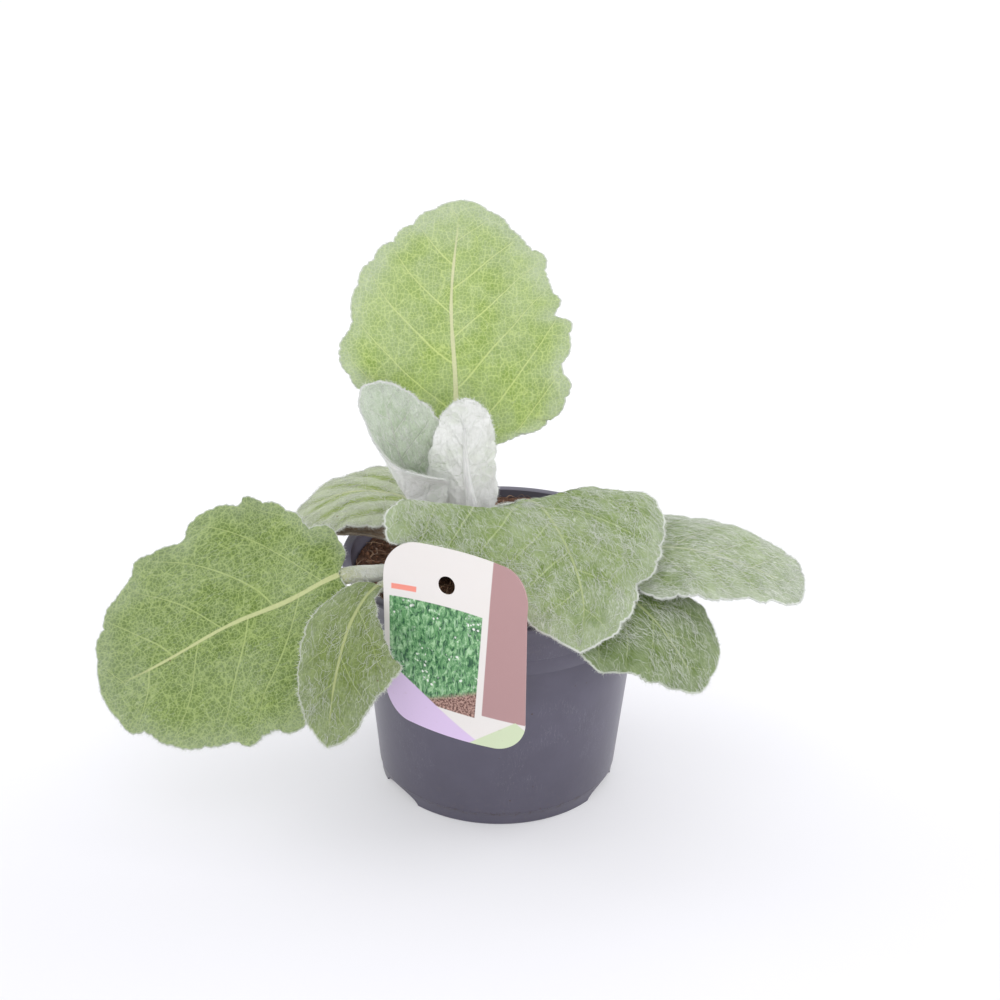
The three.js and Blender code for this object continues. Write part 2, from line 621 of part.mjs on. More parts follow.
// A point of the bent blade: u runs from the midrib to the margin along a side vein
function bladePoint(leaf, curves, side, t, u) {
  const margin = marginPoint(leaf, curves, side, t);
  const along = lerp((curves.length - TIP_INSET) * t ** VEIN_LEAN, margin.along, u);
  const out = margin.out * u;
  const { centre, normal, side: across } = curves.bladeFrameAt(along);
  const share = clamp(along / curves.length, 0, 1);
  const curl = lerp(...leaf.curl[side], share) / 100;
  const fold = deg(leaf.fold[side]) * (1 - 0.5 * share);
  const limit = leaf.limit[side];
  const turn = fold + curl * Math.min(out, limit);
  const flat = Math.max(0, out - limit);
  const reach = (Math.sin(turn) - Math.sin(fold)) / curl + flat * Math.cos(turn);
  const fade = Math.min(1, (1 - t) * 6);
  const ruffle = leaf.ruffle * u * u * Math.sin(2 * Math.PI * leaf.waves * t + leaf.seed + 2 * side);
  const pleat = leaf.pleat * u * (1.85 - 1.7 * u) * Math.abs(Math.sin(Math.PI * leaf.veins * t));
  const bent = (Math.cos(fold) - Math.cos(turn)) / curl + flat * Math.sin(turn);
  const rise = bent + fade * (ruffle + pleat);
  return centre.addScaledVector(across, side === 0 ? -reach : reach).addScaledVector(normal, rise);
}

// The way the upper face looks at a point of the blade
function bladeNormal(leaf, curves, side, t, u) {
  if (u === 0 || t === 1) {
    const along = lerp((curves.length - TIP_INSET) * t ** VEIN_LEAN, curves.length, t === 1 ? u : 0);
    return curves.bladeFrameAt(along).normal;
  }
  const at = (dt, du) => bladePoint(leaf, curves, side, clamp(t + dt, 0, 1), clamp(u + du, 0, 1));
  const lengthwise = at(SLOPE_STEP, 0).sub(at(-SLOPE_STEP, 0));
  const outward = at(0, SLOPE_STEP).sub(at(0, -SLOPE_STEP));
  const normal = side === 0 ? lengthwise.cross(outward) : outward.cross(lengthwise);
  return normal.normalize();
}

function blade(leaf, curves) {
  const upper = [];
  const under = [];
  const rows = leaf.lobes * STATIONS_PER_LOBE;
  for (let i = 0; i <= rows; i += 1) {
    const t = i / rows;
    const upperRow = [];
    const underRow = [];
    for (let j = -CELLS_ACROSS; j <= CELLS_ACROSS; j += 1) {
      const side = j < 0 ? 0 : 1;
      const u = Math.abs(j) / CELLS_ACROSS;
      const point = bladePoint(leaf, curves, side, t, u);
      const normal = bladeNormal(leaf, curves, side, t, u);
      const half = lerp(BLADE_THICKNESS, MARGIN_THICKNESS, u) / 2;
      upperRow.push(point.clone().addScaledVector(normal, half));
      underRow.push(point.clone().addScaledVector(normal, -half));
    }
    upper.push(upperRow);
    under.push(underRow);
  }
  return solidOf(slab(upper, under, true));
}

// The petiole, and the raised midrib that carries it on under the blade
function petiole(leaf, curves) {
  const [widthBase, heightBase, widthJoin, heightJoin] = leaf.petiole;
  const reach = curves.stalk + curves.length * RIB_REACH;
  const loops = [];
  for (let i = 0; i <= PETIOLE_STEPS; i += 1) {
    const at = (reach * i) / PETIOLE_STEPS;
    const stalkShare = clamp(at / curves.stalk, 0, 1);
    const ribShare = clamp((at - curves.stalk) / (reach - curves.stalk), 0, 1);
    const width = lerp(lerp(widthBase, widthJoin, stalkShare), RIB_END_WIDTH, ribShare);
    const height = lerp(lerp(heightBase, heightJoin, stalkShare), RIB_END_WIDTH, ribShare);
    const { centre, normal, side } = curves.frameAt(at - curves.stalk);
    centre.addScaledVector(normal, -0.4 * height * stalkShare);
    const loop = [];
    for (let j = 0; j < PETIOLE_SIDES; j += 1) {
      const angle = (-2 * Math.PI * j) / PETIOLE_SIDES;
      const point = centre.clone().addScaledVector(side, (Math.cos(angle) * width) / 2);
      loop.push(point.addScaledVector(normal, (Math.sin(angle) * height) / 2));
    }
    loops.push(loop);
  }
  return solidOf(loft(loops));
}

// A leaf ends just clear of the crown that it grows on
function leafGeometry(leaf) {
  const curves = leafCurves(leaf);
  const grown = blade(leaf, curves).add(petiole(leaf, curves));
  return geometryOf(grown.subtract(crownBody(FIT)));
}

const group = new THREE.Group();

function add(name, geometry, colour, roughness) {
  const finish = new THREE.MeshStandardMaterial({ color: colour, roughness, metalness: 0 });
  const mesh = new THREE.Mesh(geometry, finish);
  mesh.name = name;
  group.add(mesh);
}

add("pot", pot(), POT_COLOUR, 0.45);
add("soil", soil(), SOIL_COLOUR, 0.95);
add("crown", geometryOf(crownBody(0)), CROWN_COLOUR, 0.8);
LEAVES.forEach((leaf) => {
  add(leaf.name, leafGeometry({ limit: WHOLE_BLADE, ...leaf }), leaf.colour, 0.9);
});
add("label", label(), LABEL_COLOUR, 0.35);

export default group;
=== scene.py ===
import math

import bpy
import numpy as np
from bpy.props import FloatProperty, FloatVectorProperty, IntProperty, PointerProperty
from mathutils import Matrix, Vector


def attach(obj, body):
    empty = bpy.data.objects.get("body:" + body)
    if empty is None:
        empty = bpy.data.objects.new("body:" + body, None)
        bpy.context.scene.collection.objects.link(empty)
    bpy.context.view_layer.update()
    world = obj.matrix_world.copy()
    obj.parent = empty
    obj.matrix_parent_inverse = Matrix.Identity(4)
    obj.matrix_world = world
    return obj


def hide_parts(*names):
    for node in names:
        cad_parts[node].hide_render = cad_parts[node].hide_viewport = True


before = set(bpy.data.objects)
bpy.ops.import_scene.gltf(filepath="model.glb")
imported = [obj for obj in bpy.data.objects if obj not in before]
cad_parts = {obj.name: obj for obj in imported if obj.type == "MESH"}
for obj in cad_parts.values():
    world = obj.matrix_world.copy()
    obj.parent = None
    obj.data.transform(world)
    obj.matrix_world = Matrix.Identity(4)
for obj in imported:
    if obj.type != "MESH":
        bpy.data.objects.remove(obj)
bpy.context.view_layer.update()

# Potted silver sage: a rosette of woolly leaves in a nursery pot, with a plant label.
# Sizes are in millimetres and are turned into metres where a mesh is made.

bl_info = {
    "name": "Potted silver sage",
    "version": (1, 0, 0),
    "blender": (4, 5, 0),
    "location": "3D View > Sidebar > Silver Sage",
    "description": "Builds the pot, soil, crown, leaves, wool and label of a potted silver sage",
    "category": "Add Mesh",
}

MM = 0.001
WHITE = (1.0, 1.0, 1.0)

# Pot
POT_HEIGHT = 130.0
RIM_RADIUS = 85.0
RIM_LIP_HEIGHT = 2.6
BASE_RADIUS = 64.3
WALL_TOP_RADIUS = 77.8
COLLAR_FOOT_Z = 107.0
COLLAR_STEP = 1.4
COLLAR_TOP_RADIUS = 81.2
WALL = 1.8
FOOT_BAND_HEIGHT = 7.0
FOOT_BAND_STEP = 0.5
FOOT_WIDTH = 3.4
CHANNEL_HEIGHT = 6.0
CENTRE_PAD_RADIUS = 40.0
FLOOR_THICKNESS = 2.0
NOTCH_COUNT = 3
NOTCH_WIDTH = 31.0
NOTCH_HEIGHT = 5.5
NOTCH_START_ANGLE = 5.0
NOTCH_CUT_DEPTH = 14.0
DRAIN_HOLE_RADIUS = 3.5
DRAIN_HOLE_COUNT = 8
RING_LINE_Z = 97.5
RING_LINE_DEPTH = 0.25
POT_SIDES = 160

# Soil and crown
SOIL_LEVEL = 121.5
SOIL_RELIEF = 1.3
SOIL_BANK = 4.0
SOIL_BANK_START = 15.0
SOIL_BANK_END = 70.0
SOIL_PLAY = 0.5
SOIL_RINGS = 46
SOIL_SEED = 11
SOIL_SIDES = 160
CROWN_CENTRE = (-18.0, -3.0)
CROWN_RADIUS = 11.0
CROWN_BOTTOM = 104.0
CROWN_TOP = 137.0

# Label
LABEL_WIDTH = 82.0
LABEL_HEIGHT = 98.0
LABEL_THICKNESS = 0.8
LABEL_CORNER = 16.0
LABEL_BOTTOM = 73.0
LABEL_FACING = math.radians(-119.5)
LABEL_SHIFT = 24.0
LABEL_TILT = 0.14
LABEL_BOW_LOW = 0.0037
LABEL_BOW_HIGH = -0.004
LABEL_HOLE_RADIUS = 4.8
LABEL_HOLE_FROM_TOP = 19.0
LABEL_HOLE_OFFSET = -8.0
HOOK_WIDTH = 14.0
HOOK_THICKNESS = 1.0
HOOK_DROP = 5.0
HOOK_LAP = 9.0
HOOK_LAP_THICKNESS = 1.2
PANEL_BOX = (-38.0, 14.0, 14.0, 68.0)
STRIP_BOX = (-37.0, -24.0, 72.0, 75.0)
FIT = 0.3

# Leaf build
CURVE_SAMPLES = 1601
TIP_INSET = 6.0
FINE_TEETH = 4
FINE_TOOTH_DEPTH = 0.75
VEIN_LEAN = 1.25
RIB_REACH = 0.72
RIB_TIP_WIDTH = 1.3
RIB_TIP_HEIGHT = 1.4
STALK_SIDES = 16
STALK_RING_STEP = 2.2
STALK_SINK = 0.4
STALK_FELT = 0.15
MERGE_DISTANCE = 0.02
UPPER_FACE, UNDER_FACE, MARGIN, STALK = range(4)
SHEET = 250.0
STALK_ROOM = 80.0

# Wool
HAIRS_IN_CLUMP = 4
LYING_HAIR_WIDTH = 0.14
FUZZ_WIDTH = 0.16
FUZZ_LENGTH = 2.0
STALK_HAIR_LENGTH = 7.0
STALK_HAIRS_PER_MM = 4
WHITE_SHARE = 0.75

# Camera of the picture
CAMERA_PLACE = (0.0, -0.9514, 0.6172)
CAMERA_PITCH = math.radians(25.59)
CAMERA_YAW = math.radians(-0.05)
CAMERA_ROLL = math.radians(1.04)
CAMERA_LENS = 71.83
CAMERA_SENSOR = 36.0

# Stage, in metres and watts: each lamp's name, place, target, size and power
FLOOR_SIZE = 12.0
FLOOR_DROP = 0.0002
ROOM_COLOUR = (0.96, 0.97, 1.0, 1.0)
ROOM_LIGHT = 0.78
LAMPS = (
    ("key_light", (-0.4, -1.2, 2.0), (0, 0, 0.12), 2.2, 6),
    ("front_light", (0.1, -1.8, 0.45), (0, 0, 0.2), 1.6, 9),
    ("right_light", (1.5, 0.6, 0.6), (0, 0, 0.1), 1.3, 14),
    ("left_light", (-1.7, 0.4, 0.8), (0, 0, 0.1), 1.4, 11),
    ("back_light", (0.3, 1.8, 2.0), (0, 0.9, 0.0), 2.4, 10),
)


def linear(red, green, blue):
    """A screen colour from 0 to 255 as Blender's linear colour."""
    parts = []
    for part in (red, green, blue):
        share = part / 255
        parts.append(share / 12.92 if share <= 0.04045 else ((share + 0.055) / 1.055) ** 2.4)
    return tuple(parts)


def toned(colour, factor):
    """The colour made darker or lighter, but no lighter than white."""
    return tuple(min(1.0, part * factor) for part in colour)


# Leaves. The spine runs from the crown along the petiole and the midrib to the tip, and the
# blade begins at spine point "junction". The outline is laid flat: along the midrib from the
# junction and out from it, left and right as seen on the upper face. "face" is the way the upper
# face looks at the junction and the tip, "curl" the bend across the blade, "fold" the dihedral.
LEAVES = {
    "leaf_back": dict(
        spine=[[-17, 6, 130], [-18, 19, 146], [-22, 27, 163], [-24, 30, 174], [-26, 43, 212],
               [-29, 62, 250], [-25, 96, 296]],
        junction=3,
        face=[[0, -1, 0.3], [0, -0.8, 0.7]],
        left=[[0, 4], [8, 26], [20, 44], [31, 48], [42, 55], [52, 60], [62, 61], [69, 55], [84, 53],
              [98, 46], [110, 37], [126, 23], [137, 8]],
        right=[[0, 4], [4, 20], [8, 29], [14, 46], [26, 58], [36, 62], [42, 58], [52, 62], [66, 64],
               [72, 57], [84, 58], [94, 52], [112, 48], [118, 38], [131, 23], [139, 8]],
        curl=[[0.3, 0.1], [0.2, 0.1]],
        fold=[4, 4], lobes=13, scallop=1.8, seed=3, ruffle=1.5, waves=4, pleat=1.0,
        petiole=[8, 6, 6, 4], slot="leaf_green", look="old_bright",
    ),
    "leaf_left": dict(
        spine=[[-28, -6, 127], [-45, -20, 130], [-65, -32, 134], [-82.5, -42, 137],
               [-110, -44, 122], [-140, -45, 108], [-177, -50, 86.5], [-208, -55, 71]],
        junction=3,
        face=[[-0.2, -0.7, 0.7], [-0.3, -0.8, 0.5]],
        left=[[0, 4], [-4, 20], [6, 42], [22, 57], [43, 64], [54, 64], [64, 60], [75, 61], [86, 60],
              [93, 54], [104, 51], [121, 40], [127, 31], [136, 25], [141, 12]],
        right=[[0, 4], [-6, 11], [-3, 26], [6, 32], [10, 42], [20, 54], [39, 64], [44, 60], [56, 65],
               [68, 60], [72, 55], [84, 57], [96, 56], [107, 48], [121, 42], [130, 31], [137, 19]],
        curl=[[-0.5, -0.5], [-0.2, -0.3]],
        fold=[3, 3], lobes=13, scallop=1.6, seed=8, ruffle=1.5, waves=4, pleat=1.1,
        petiole=[9, 6, 8, 6], slot="leaf_green", look="old_green",
    ),
    "leaf_front_left": dict(
        spine=[[-23, -11.5, 126], [-42, -33, 134], [-62, -55, 138], [-74, -80, 130],
               [-81, -99, 106], [-84, -114, 78]],
        junction=2,
        face=[[-0.3, -0.4, 0.9], [-0.3, -0.9, 0.4]],
        left=[[0, 3], [10, 5], [22, 12], [34, 21], [41, 26], [46, 33], [50, 32], [59, 26], [70, 20],
              [80, 16], [88, 9]],
        right=[[0, 3], [4, 12], [16, 19], [37, 23], [54, 22], [68, 18], [82, 12], [88, 6]],
        curl=[[-0.8, -0.4], [-0.8, -0.6]],
        fold=[3, 3], lobes=9, scallop=1, seed=5, ruffle=1, waves=3, pleat=0.9,
        petiole=[7, 5, 5, 3.6], slot="leaf_green", look="old_dark",
    ),
    "leaf_rear_left": dict(
        spine=[[-24, 4, 130], [-38, 16, 141], [-50, 27, 147.5], [-80, 33, 149], [-113, 35, 135]],
        junction=2,
        face=[[0, -0.2, 1], [-0.3, -0.2, 1]],
        left=[[0, 3], [-2, 14], [6, 24], [20, 27], [28, 28], [40, 28], [50, 27], [56, 22], [65, 9]],
        right=[[0, 3], [5, 18], [18, 25], [32, 21], [42, 18], [54, 13], [62, 6]],
        curl=[[-0.8, -0.9], [-0.6, -0.8]],
        fold=[0, 0], lobes=8, scallop=1, seed=11, ruffle=0.8, waves=3, pleat=2.4,
        petiole=[7, 5, 5, 3.6], slot="leaf_silver", look="woolly_pale",
    ),
    "leaf_dry": dict(
        spine=[[-28, 0, 126], [-43, 6, 129], [-58, 11, 131.5], [-75, 13.5, 134], [-92, 11, 135]],
        junction=2,
        face=[[0, -0.3, 1], [0, -0.3, 1]],
        left=[[0, 2], [6, 5], [18, 6], [30, 5]],
        right=[[0, 2], [6, 5], [18, 6], [30, 4]],
        curl=[[18, 18], [18, 18]],
        fold=[5, 5], lobes=4, scallop=0.8, seed=21, ruffle=0, waves=2, pleat=0.3,
        petiole=[4, 3, 3, 2.4], slot="leaf_brown", look="dry",
    ),
    "leaf_young_left": dict(
        spine=[[-22, 1, 135.5], [-39, 9, 144.5], [-46, 14, 157], [-53, 16, 173], [-59, 17, 196],
               [-65, 18, 221]],
        junction=2,
        face=[[0.3, -1, 0.2], [0.1, -1, 0.3]],
        left=[[-13, 6], [-12, 20], [-5, 31], [6, 35], [18, 32], [28, 24], [38, 17], [50, 15],
              [60, 14], [66, 10]],
        right=[[-6, 6], [0, 20], [12, 21], [22, 20], [32, 26], [44, 23], [54, 16], [62, 9]],
        curl=[[18, 0.5], [1, 0.5]],
        limit=[16, 99],
        fold=[4, 8], lobes=8, scallop=1.2, seed=14, ruffle=1, waves=3, pleat=0.9,
        petiole=[8, 6, 6, 4.5], slot="leaf_young", look="young_grey",
    ),
    "leaf_young_right": dict(
        spine=[[-15, -1, 137], [-15, 4, 146], [-16, 7, 155], [-19, 8, 178], [-20, 8, 198],
               [-20, 6, 217]],
        junction=2,
        face=[[0.1, 1, 0.2], [0.1, 1, 0.2]],
        left=[[-6, 6], [0, 14], [14, 15], [28, 16], [44, 15], [54, 11], [60, 5]],
        right=[[-6, 6], [0, 13], [14, 21], [26, 20], [36, 17], [48, 13], [58, 7]],
        curl=[[1.5, 1], [0.1, 0.3]],
        fold=[20, 2], lobes=7, scallop=1, seed=17, ruffle=0.8, waves=3, pleat=1.2,
        petiole=[8, 6, 6, 4.5], slot="leaf_young", look="young_white",
    ),
    "leaf_front_right": dict(
        spine=[[-10, 0, 131.5], [3, 14, 143], [9, 20, 150], [13, 15, 154], [22, -5, 158.5],
               [36, -42, 150], [42, -72, 139], [40, -97, 125]],
        junction=3,
        face=[[0, -0.2, 1], [0, -0.7, 0.7]],
        left=[[4, 4], [12, 12], [9, 24], [9, 36], [12, 47], [18, 57], [30, 60], [42, 59], [53, 56],
              [60, 51], [69, 46], [78, 41], [84, 34], [86, 28], [93, 28], [98, 24], [103, 21],
              [110, 17], [117, 10]],
        right=[[4, 4], [14, 14], [19, 28], [23, 42], [22, 54], [14, 64], [10, 72], [14, 80],
               [20, 86], [27, 91], [35, 89], [39, 80], [48, 68], [70, 52], [90, 41], [106, 32],
               [115, 22], [120, 10]],
        curl=[[-0.5, -0.5], [0.1, -0.5]],
        fold=[2, 15], lobes=14, scallop=1.6, seed=23, ruffle=1.5, waves=4, pleat=1.2,
        petiole=[9, 7, 6.5, 4.5], slot="leaf_silver", look="silver",
    ),
    "leaf_right": dict(
        spine=[[-8.5, -6.5, 129], [20, -10, 137], [50, -14, 141.5], [72, -14, 142], [100, -14, 141],
               [130, -16, 133], [162, -14, 117]],
        junction=3,
        face=[[0.1, -0.04, 1], [0.1, -0.3, 1]],
        left=[[0, 3], [-4, 18], [4, 35], [16, 39], [33, 39], [46, 36], [60, 37], [73, 37], [83, 33],
              [91, 24], [95, 12]],
        right=[[0, 3], [-5, 20], [-1, 39], [6, 45], [18, 43], [26, 40], [34, 37], [44, 34], [52, 29],
               [60, 25], [67, 24], [74, 19], [84, 15], [92, 9]],
        curl=[[-0.3, -0.8], [-0.2, -0.8]],
        fold=[0, 0], lobes=10, scallop=1.1, seed=29, ruffle=1, waves=3, pleat=1.2,
        petiole=[7, 5, 5.5, 3.8], slot="leaf_silver", look="silver_pale",
    ),
    "leaf_lower_right": dict(
        spine=[[-12, -12, 125.5], [13, -26, 130.5], [38, -40, 135.5], [58, -50, 136.5],
               [78, -64, 126.5], [93, -72, 108], [103, -76, 91]],
        junction=3,
        face=[[0.1, -0.2, 1], [0.5, -0.6, 0.6]],
        left=[[0, 3], [2, 10], [8, 18], [18, 25], [30, 32], [41, 37], [51, 34], [60, 29], [67, 19],
              [71, 8]],
        right=[[0, 3], [-1, 16], [4, 32], [11, 42], [18, 46], [26, 45], [34, 39], [39, 32], [46, 28],
               [53, 20], [60, 14], [68, 6]],
        curl=[[-1.3, -0.6], [-0.5, -0.5]],
        fold=[0, 0], lobes=9, scallop=1.1, seed=31, ruffle=1, waves=3, pleat=1.2,
        petiole=[7, 5, 5, 3], slot="leaf_silver", look="silver_green",
    ),
}

# How each leaf is coloured and how woolly it is. "gap" is the way between side veins, and "lean"
# how far they rise to the tip, more so towards the margin by "arch". "net" is how clear the small
# veins are, "rib" the width of the midrib, "film" the colour of the thin wool and "haze" its
# amount, "ridge" the wool on the raised bands between the veins, "strand" the painted long hairs,
# and "belt" the width of the pale margin line. "hairs" is how many modelled ones lie on the upper
# and the under face and stand on the margin, for each square or running centimetre.
LOOKS = {
    # Painted light: the bright greens of the back leaf stand in for light shining through it from behind.
    "old_bright": dict(dark=(136, 162, 78), light=(164, 188, 106), veins=(212, 228, 142),
                       midrib=(222, 222, 178), film=(198, 206, 191), gap=27, lean=0.8, arch=0.005, net=1.0,
                       haze=0.75, ridge=0.0, strand=0.1, edge=(212, 217, 204), belt=0.8,
                       rib=3.2, under=(178, 190, 150), hairs=(0, 2, 60), hair_length=8.0),
    "old_green": dict(dark=(88, 112, 44), light=(116, 138, 70), veins=(172, 190, 116),
                      midrib=(200, 205, 150), film=(176, 186, 162), gap=30, lean=0.5, arch=0.008, net=1.0,
                      haze=0.5, ridge=0.0, strand=0.12, edge=(194, 200, 186), belt=0.8,
                      rib=3.0, under=(168, 178, 146), hairs=(0, 2, 56), hair_length=9.0),
    "old_dark": dict(dark=(84, 102, 38), light=(114, 132, 64), veins=(160, 176, 108),
                     midrib=(178, 186, 130), film=(176, 186, 160), gap=26, lean=1.1, arch=0.004, net=0.45,
                     haze=0.4, ridge=0.2, strand=0.3, edge=(196, 200, 186), belt=1.0,
                     rib=2.2, under=(160, 170, 140), hairs=(5, 3, 56), hair_length=12.0),
    "woolly_pale": dict(dark=(108, 130, 40), light=(144, 164, 78), veins=(176, 186, 124),
                        midrib=(196, 202, 160), film=(206, 209, 198), gap=38, lean=4.0, arch=-0.02, net=0.1,
                        haze=0.85, ridge=1.0, strand=0.3, edge=(222, 223, 216), belt=1.2,
                        rib=2.0, under=(196, 200, 186), hairs=(14, 5, 60), hair_length=12.0),
    "dry": dict(dark=(96, 76, 62), light=(150, 128, 108), veins=(170, 150, 130),
                midrib=(160, 140, 120), film=(168, 156, 142), gap=9, lean=1.0, arch=0.0, net=0.2,
                haze=0.4, ridge=0.0, strand=0.2, edge=(160, 146, 130), belt=0.6,
                rib=1.4, under=(140, 120, 104), hairs=(8, 6, 20), hair_length=5.0),
    "young_grey": dict(dark=(138, 164, 116), light=(188, 204, 174), veins=(214, 219, 204),
                       midrib=(214, 217, 206), film=(232, 236, 228), gap=16, lean=1.0, arch=0.0, net=0.1,
                       haze=0.7, ridge=0.3, strand=0.9, edge=(232, 233, 230), belt=1.2,
                       rib=1.2, under=(249, 249, 247), hairs=(14, 10, 80), hair_length=10.0),
    "young_white": dict(dark=(186, 200, 168), light=(206, 219, 188), veins=(228, 230, 224),
                        midrib=(250, 250, 248), film=(244, 245, 242), gap=14, lean=1.6, arch=0.01, net=0.1,
                        haze=0.7, ridge=0.3, strand=0.3, edge=(238, 239, 237), belt=1.2,
                        rib=1.6, under=(250, 250, 248), hairs=(12, 8, 80), hair_length=9.0),
    "silver": dict(dark=(92, 118, 42), light=(130, 152, 76), veins=(176, 192, 128),
                   midrib=(184, 196, 142), film=(204, 211, 196), gap=26, lean=0.8, arch=0.004, net=0.3,
                   haze=0.55, ridge=0.25, strand=0.6, edge=(226, 229, 222), belt=1.0,
                   rib=2.0, under=(190, 196, 178), hairs=(9, 6, 80), hair_length=14.0),
    "silver_pale": dict(dark=(96, 120, 54), light=(138, 158, 96), veins=(180, 190, 148),
                        midrib=(190, 198, 164), film=(208, 213, 202), gap=22, lean=0.8, arch=0.004, net=0.2,
                        haze=0.65, ridge=0.3, strand=0.7, edge=(228, 231, 225), belt=1.0,
                        rib=2.0, under=(196, 201, 186), hairs=(11, 6, 80), hair_length=14.0),
    "silver_green": dict(dark=(68, 92, 28), light=(100, 122, 50), veins=(150, 166, 108),
                         midrib=(164, 176, 124), film=(168, 179, 152), gap=20, lean=0.8, arch=0.004, net=0.3,
                         haze=0.5, ridge=0.25, strand=0.5, edge=(210, 215, 202), belt=1.0,
                         rib=1.8, under=(184, 190, 170), hairs=(9, 6, 64), hair_length=13.0),
}


def colour_setting(name, description, *screen):
    """A colour setting whose default is given as a screen colour."""
    return FloatVectorProperty(
        name=name, description=description, subtype="COLOR", default=linear(*screen), min=0, max=1)


class PotSettings(bpy.types.PropertyGroup):
    """Sizes and colours of the nursery pot."""

    wall_colour: colour_setting("Wall colour", "Colour of the pot's plastic", 88, 85, 101)
    dust_colour: colour_setting(
        "Dust colour", "Colour of the dust and soil specks on the pot", 140, 126, 116)
    gloss: FloatProperty(
        name="Roughness", description="How rough the plastic is", default=0.34, min=0, max=1,
        subtype="FACTOR")
    ring_line: FloatProperty(
        name="Ring line depth", description="Depth of the fine line under the collar",
        default=RING_LINE_DEPTH * MM, min=0, unit="LENGTH")


class SoilSettings(bpy.types.PropertyGroup):
    """Colours and counts of the potting soil and the crown."""

    colour: colour_setting("Soil colour", "Colour of the damp soil", 116, 84, 66)
    chip_colour: colour_setting("Chip colour", "Colour of the bark chips and coir", 128, 98, 78)
    crumbs: IntProperty(
        name="Crumbs", description="Number of loose crumbs", default=2600, min=0)
    fibres: IntProperty(
        name="Fibres", description="Number of coir fibres", default=520, min=0)
    crown_colour: colour_setting("Crown colour", "Colour of the woody crown", 160, 138, 120)


class LeafSettings(bpy.types.PropertyGroup):
    """Sizes and colours that all leaves share."""

    cell: FloatProperty(
        name="Cell size", description="Way between two rows of a leaf's surface",
        default=0.95 * MM, min=0.0004, unit="LENGTH")
    thickness: FloatProperty(
        name="Blade thickness", description="Thickness of a blade at its midrib",
        default=1.2 * MM, min=0.0002, unit="LENGTH")
    margin_thickness: FloatProperty(
        name="Margin thickness", description="Thickness of a blade at its margin",
        default=0.7 * MM, min=0.0001, unit="LENGTH")
    wool_colour: colour_setting("Wool colour", "Colour of the silvery wool", 232, 234, 228)
    wool_amount: FloatProperty(
        name="Wool amount", description="Share of the modelled hairs", default=1.0, min=0, max=1.5,
        subtype="FACTOR")
    foot_colour: colour_setting(
        "Stalk foot colour", "Colour of a stalk's under side near the crown", 158, 134, 112)


class LabelSettings(bpy.types.PropertyGroup):
    """Colours of the plant label."""

    card_colour: colour_setting("Card colour", "Colour of the card", 228, 223, 219)
    band_colour: colour_setting("Band colour", "Colour of the plain band", 175, 138, 138)


class StageSettings(bpy.types.PropertyGroup):
    """The floor and the light."""

    # Painted shade: the floor's colour at the front, darker than towards the back.
    shaded_front_floor_colour: colour_setting("Floor colour", "Colour of the floor", 200, 199, 204)
    glow: FloatProperty(
        name="Floor glow", description="Light that the floor gives of its own", default=0.32, min=0)
    light: FloatProperty(
        name="Light", description="Strength of the studio light", default=1.0, min=0)


class Value:
    """A number that varies over a surface; arithmetic on it adds its Math nodes."""

    def __init__(self, finish, socket):
        self.finish = finish
        self.socket = socket

    def _math(self, operation, *terms):
        node = self.finish.node("ShaderNodeMath", {"operation": operation}, dict(enumerate(terms)))
        return Value(self.finish, node.outputs[0])

    def __add__(self, other):
        return self._math("ADD", self, other)

    def __sub__(self, other):
        return self._math("SUBTRACT", self, other)

    def __rsub__(self, other):
        return self._math("SUBTRACT", other, self)

    def __mul__(self, other):
        return self._math("MULTIPLY", self, other)

    __rmul__ = __mul__

    def __truediv__(self, other):
        return self._math("DIVIDE", self, other)

    def __pow__(self, other):
        return self._math("POWER", self, other)

    def __abs__(self):
        return self._math("ABSOLUTE", self)

    def fraction(self):
        return self._math("FRACT", self)

    def sine(self):
        return self._math("SINE", self)

    def above(self, limit):
        return self._math("GREATER_THAN", self, limit)

    def greater(self, other):
        return self._math("MAXIMUM", self, other)

    def lesser(self, other):
        return self._math("MINIMUM", self, other)

    def step(self, low, high, start=0.0, end=1.0):
        """Smoothly from start at low to end at high."""
        settings = {"interpolation_type": "SMOOTHSTEP", "clamp": True}
        inputs = {"Value": self, "From Min": low, "From Max": high, "To Min": start, "To Max": end}
        node = self.finish.node("ShaderNodeMapRange", settings, inputs)
        return Value(self.finish, node.outputs[0])

    def fall(self, low, high):
        """Smoothly from 1 at low to 0 at high."""
        return self.step(low, high, 1.0, 0.0)


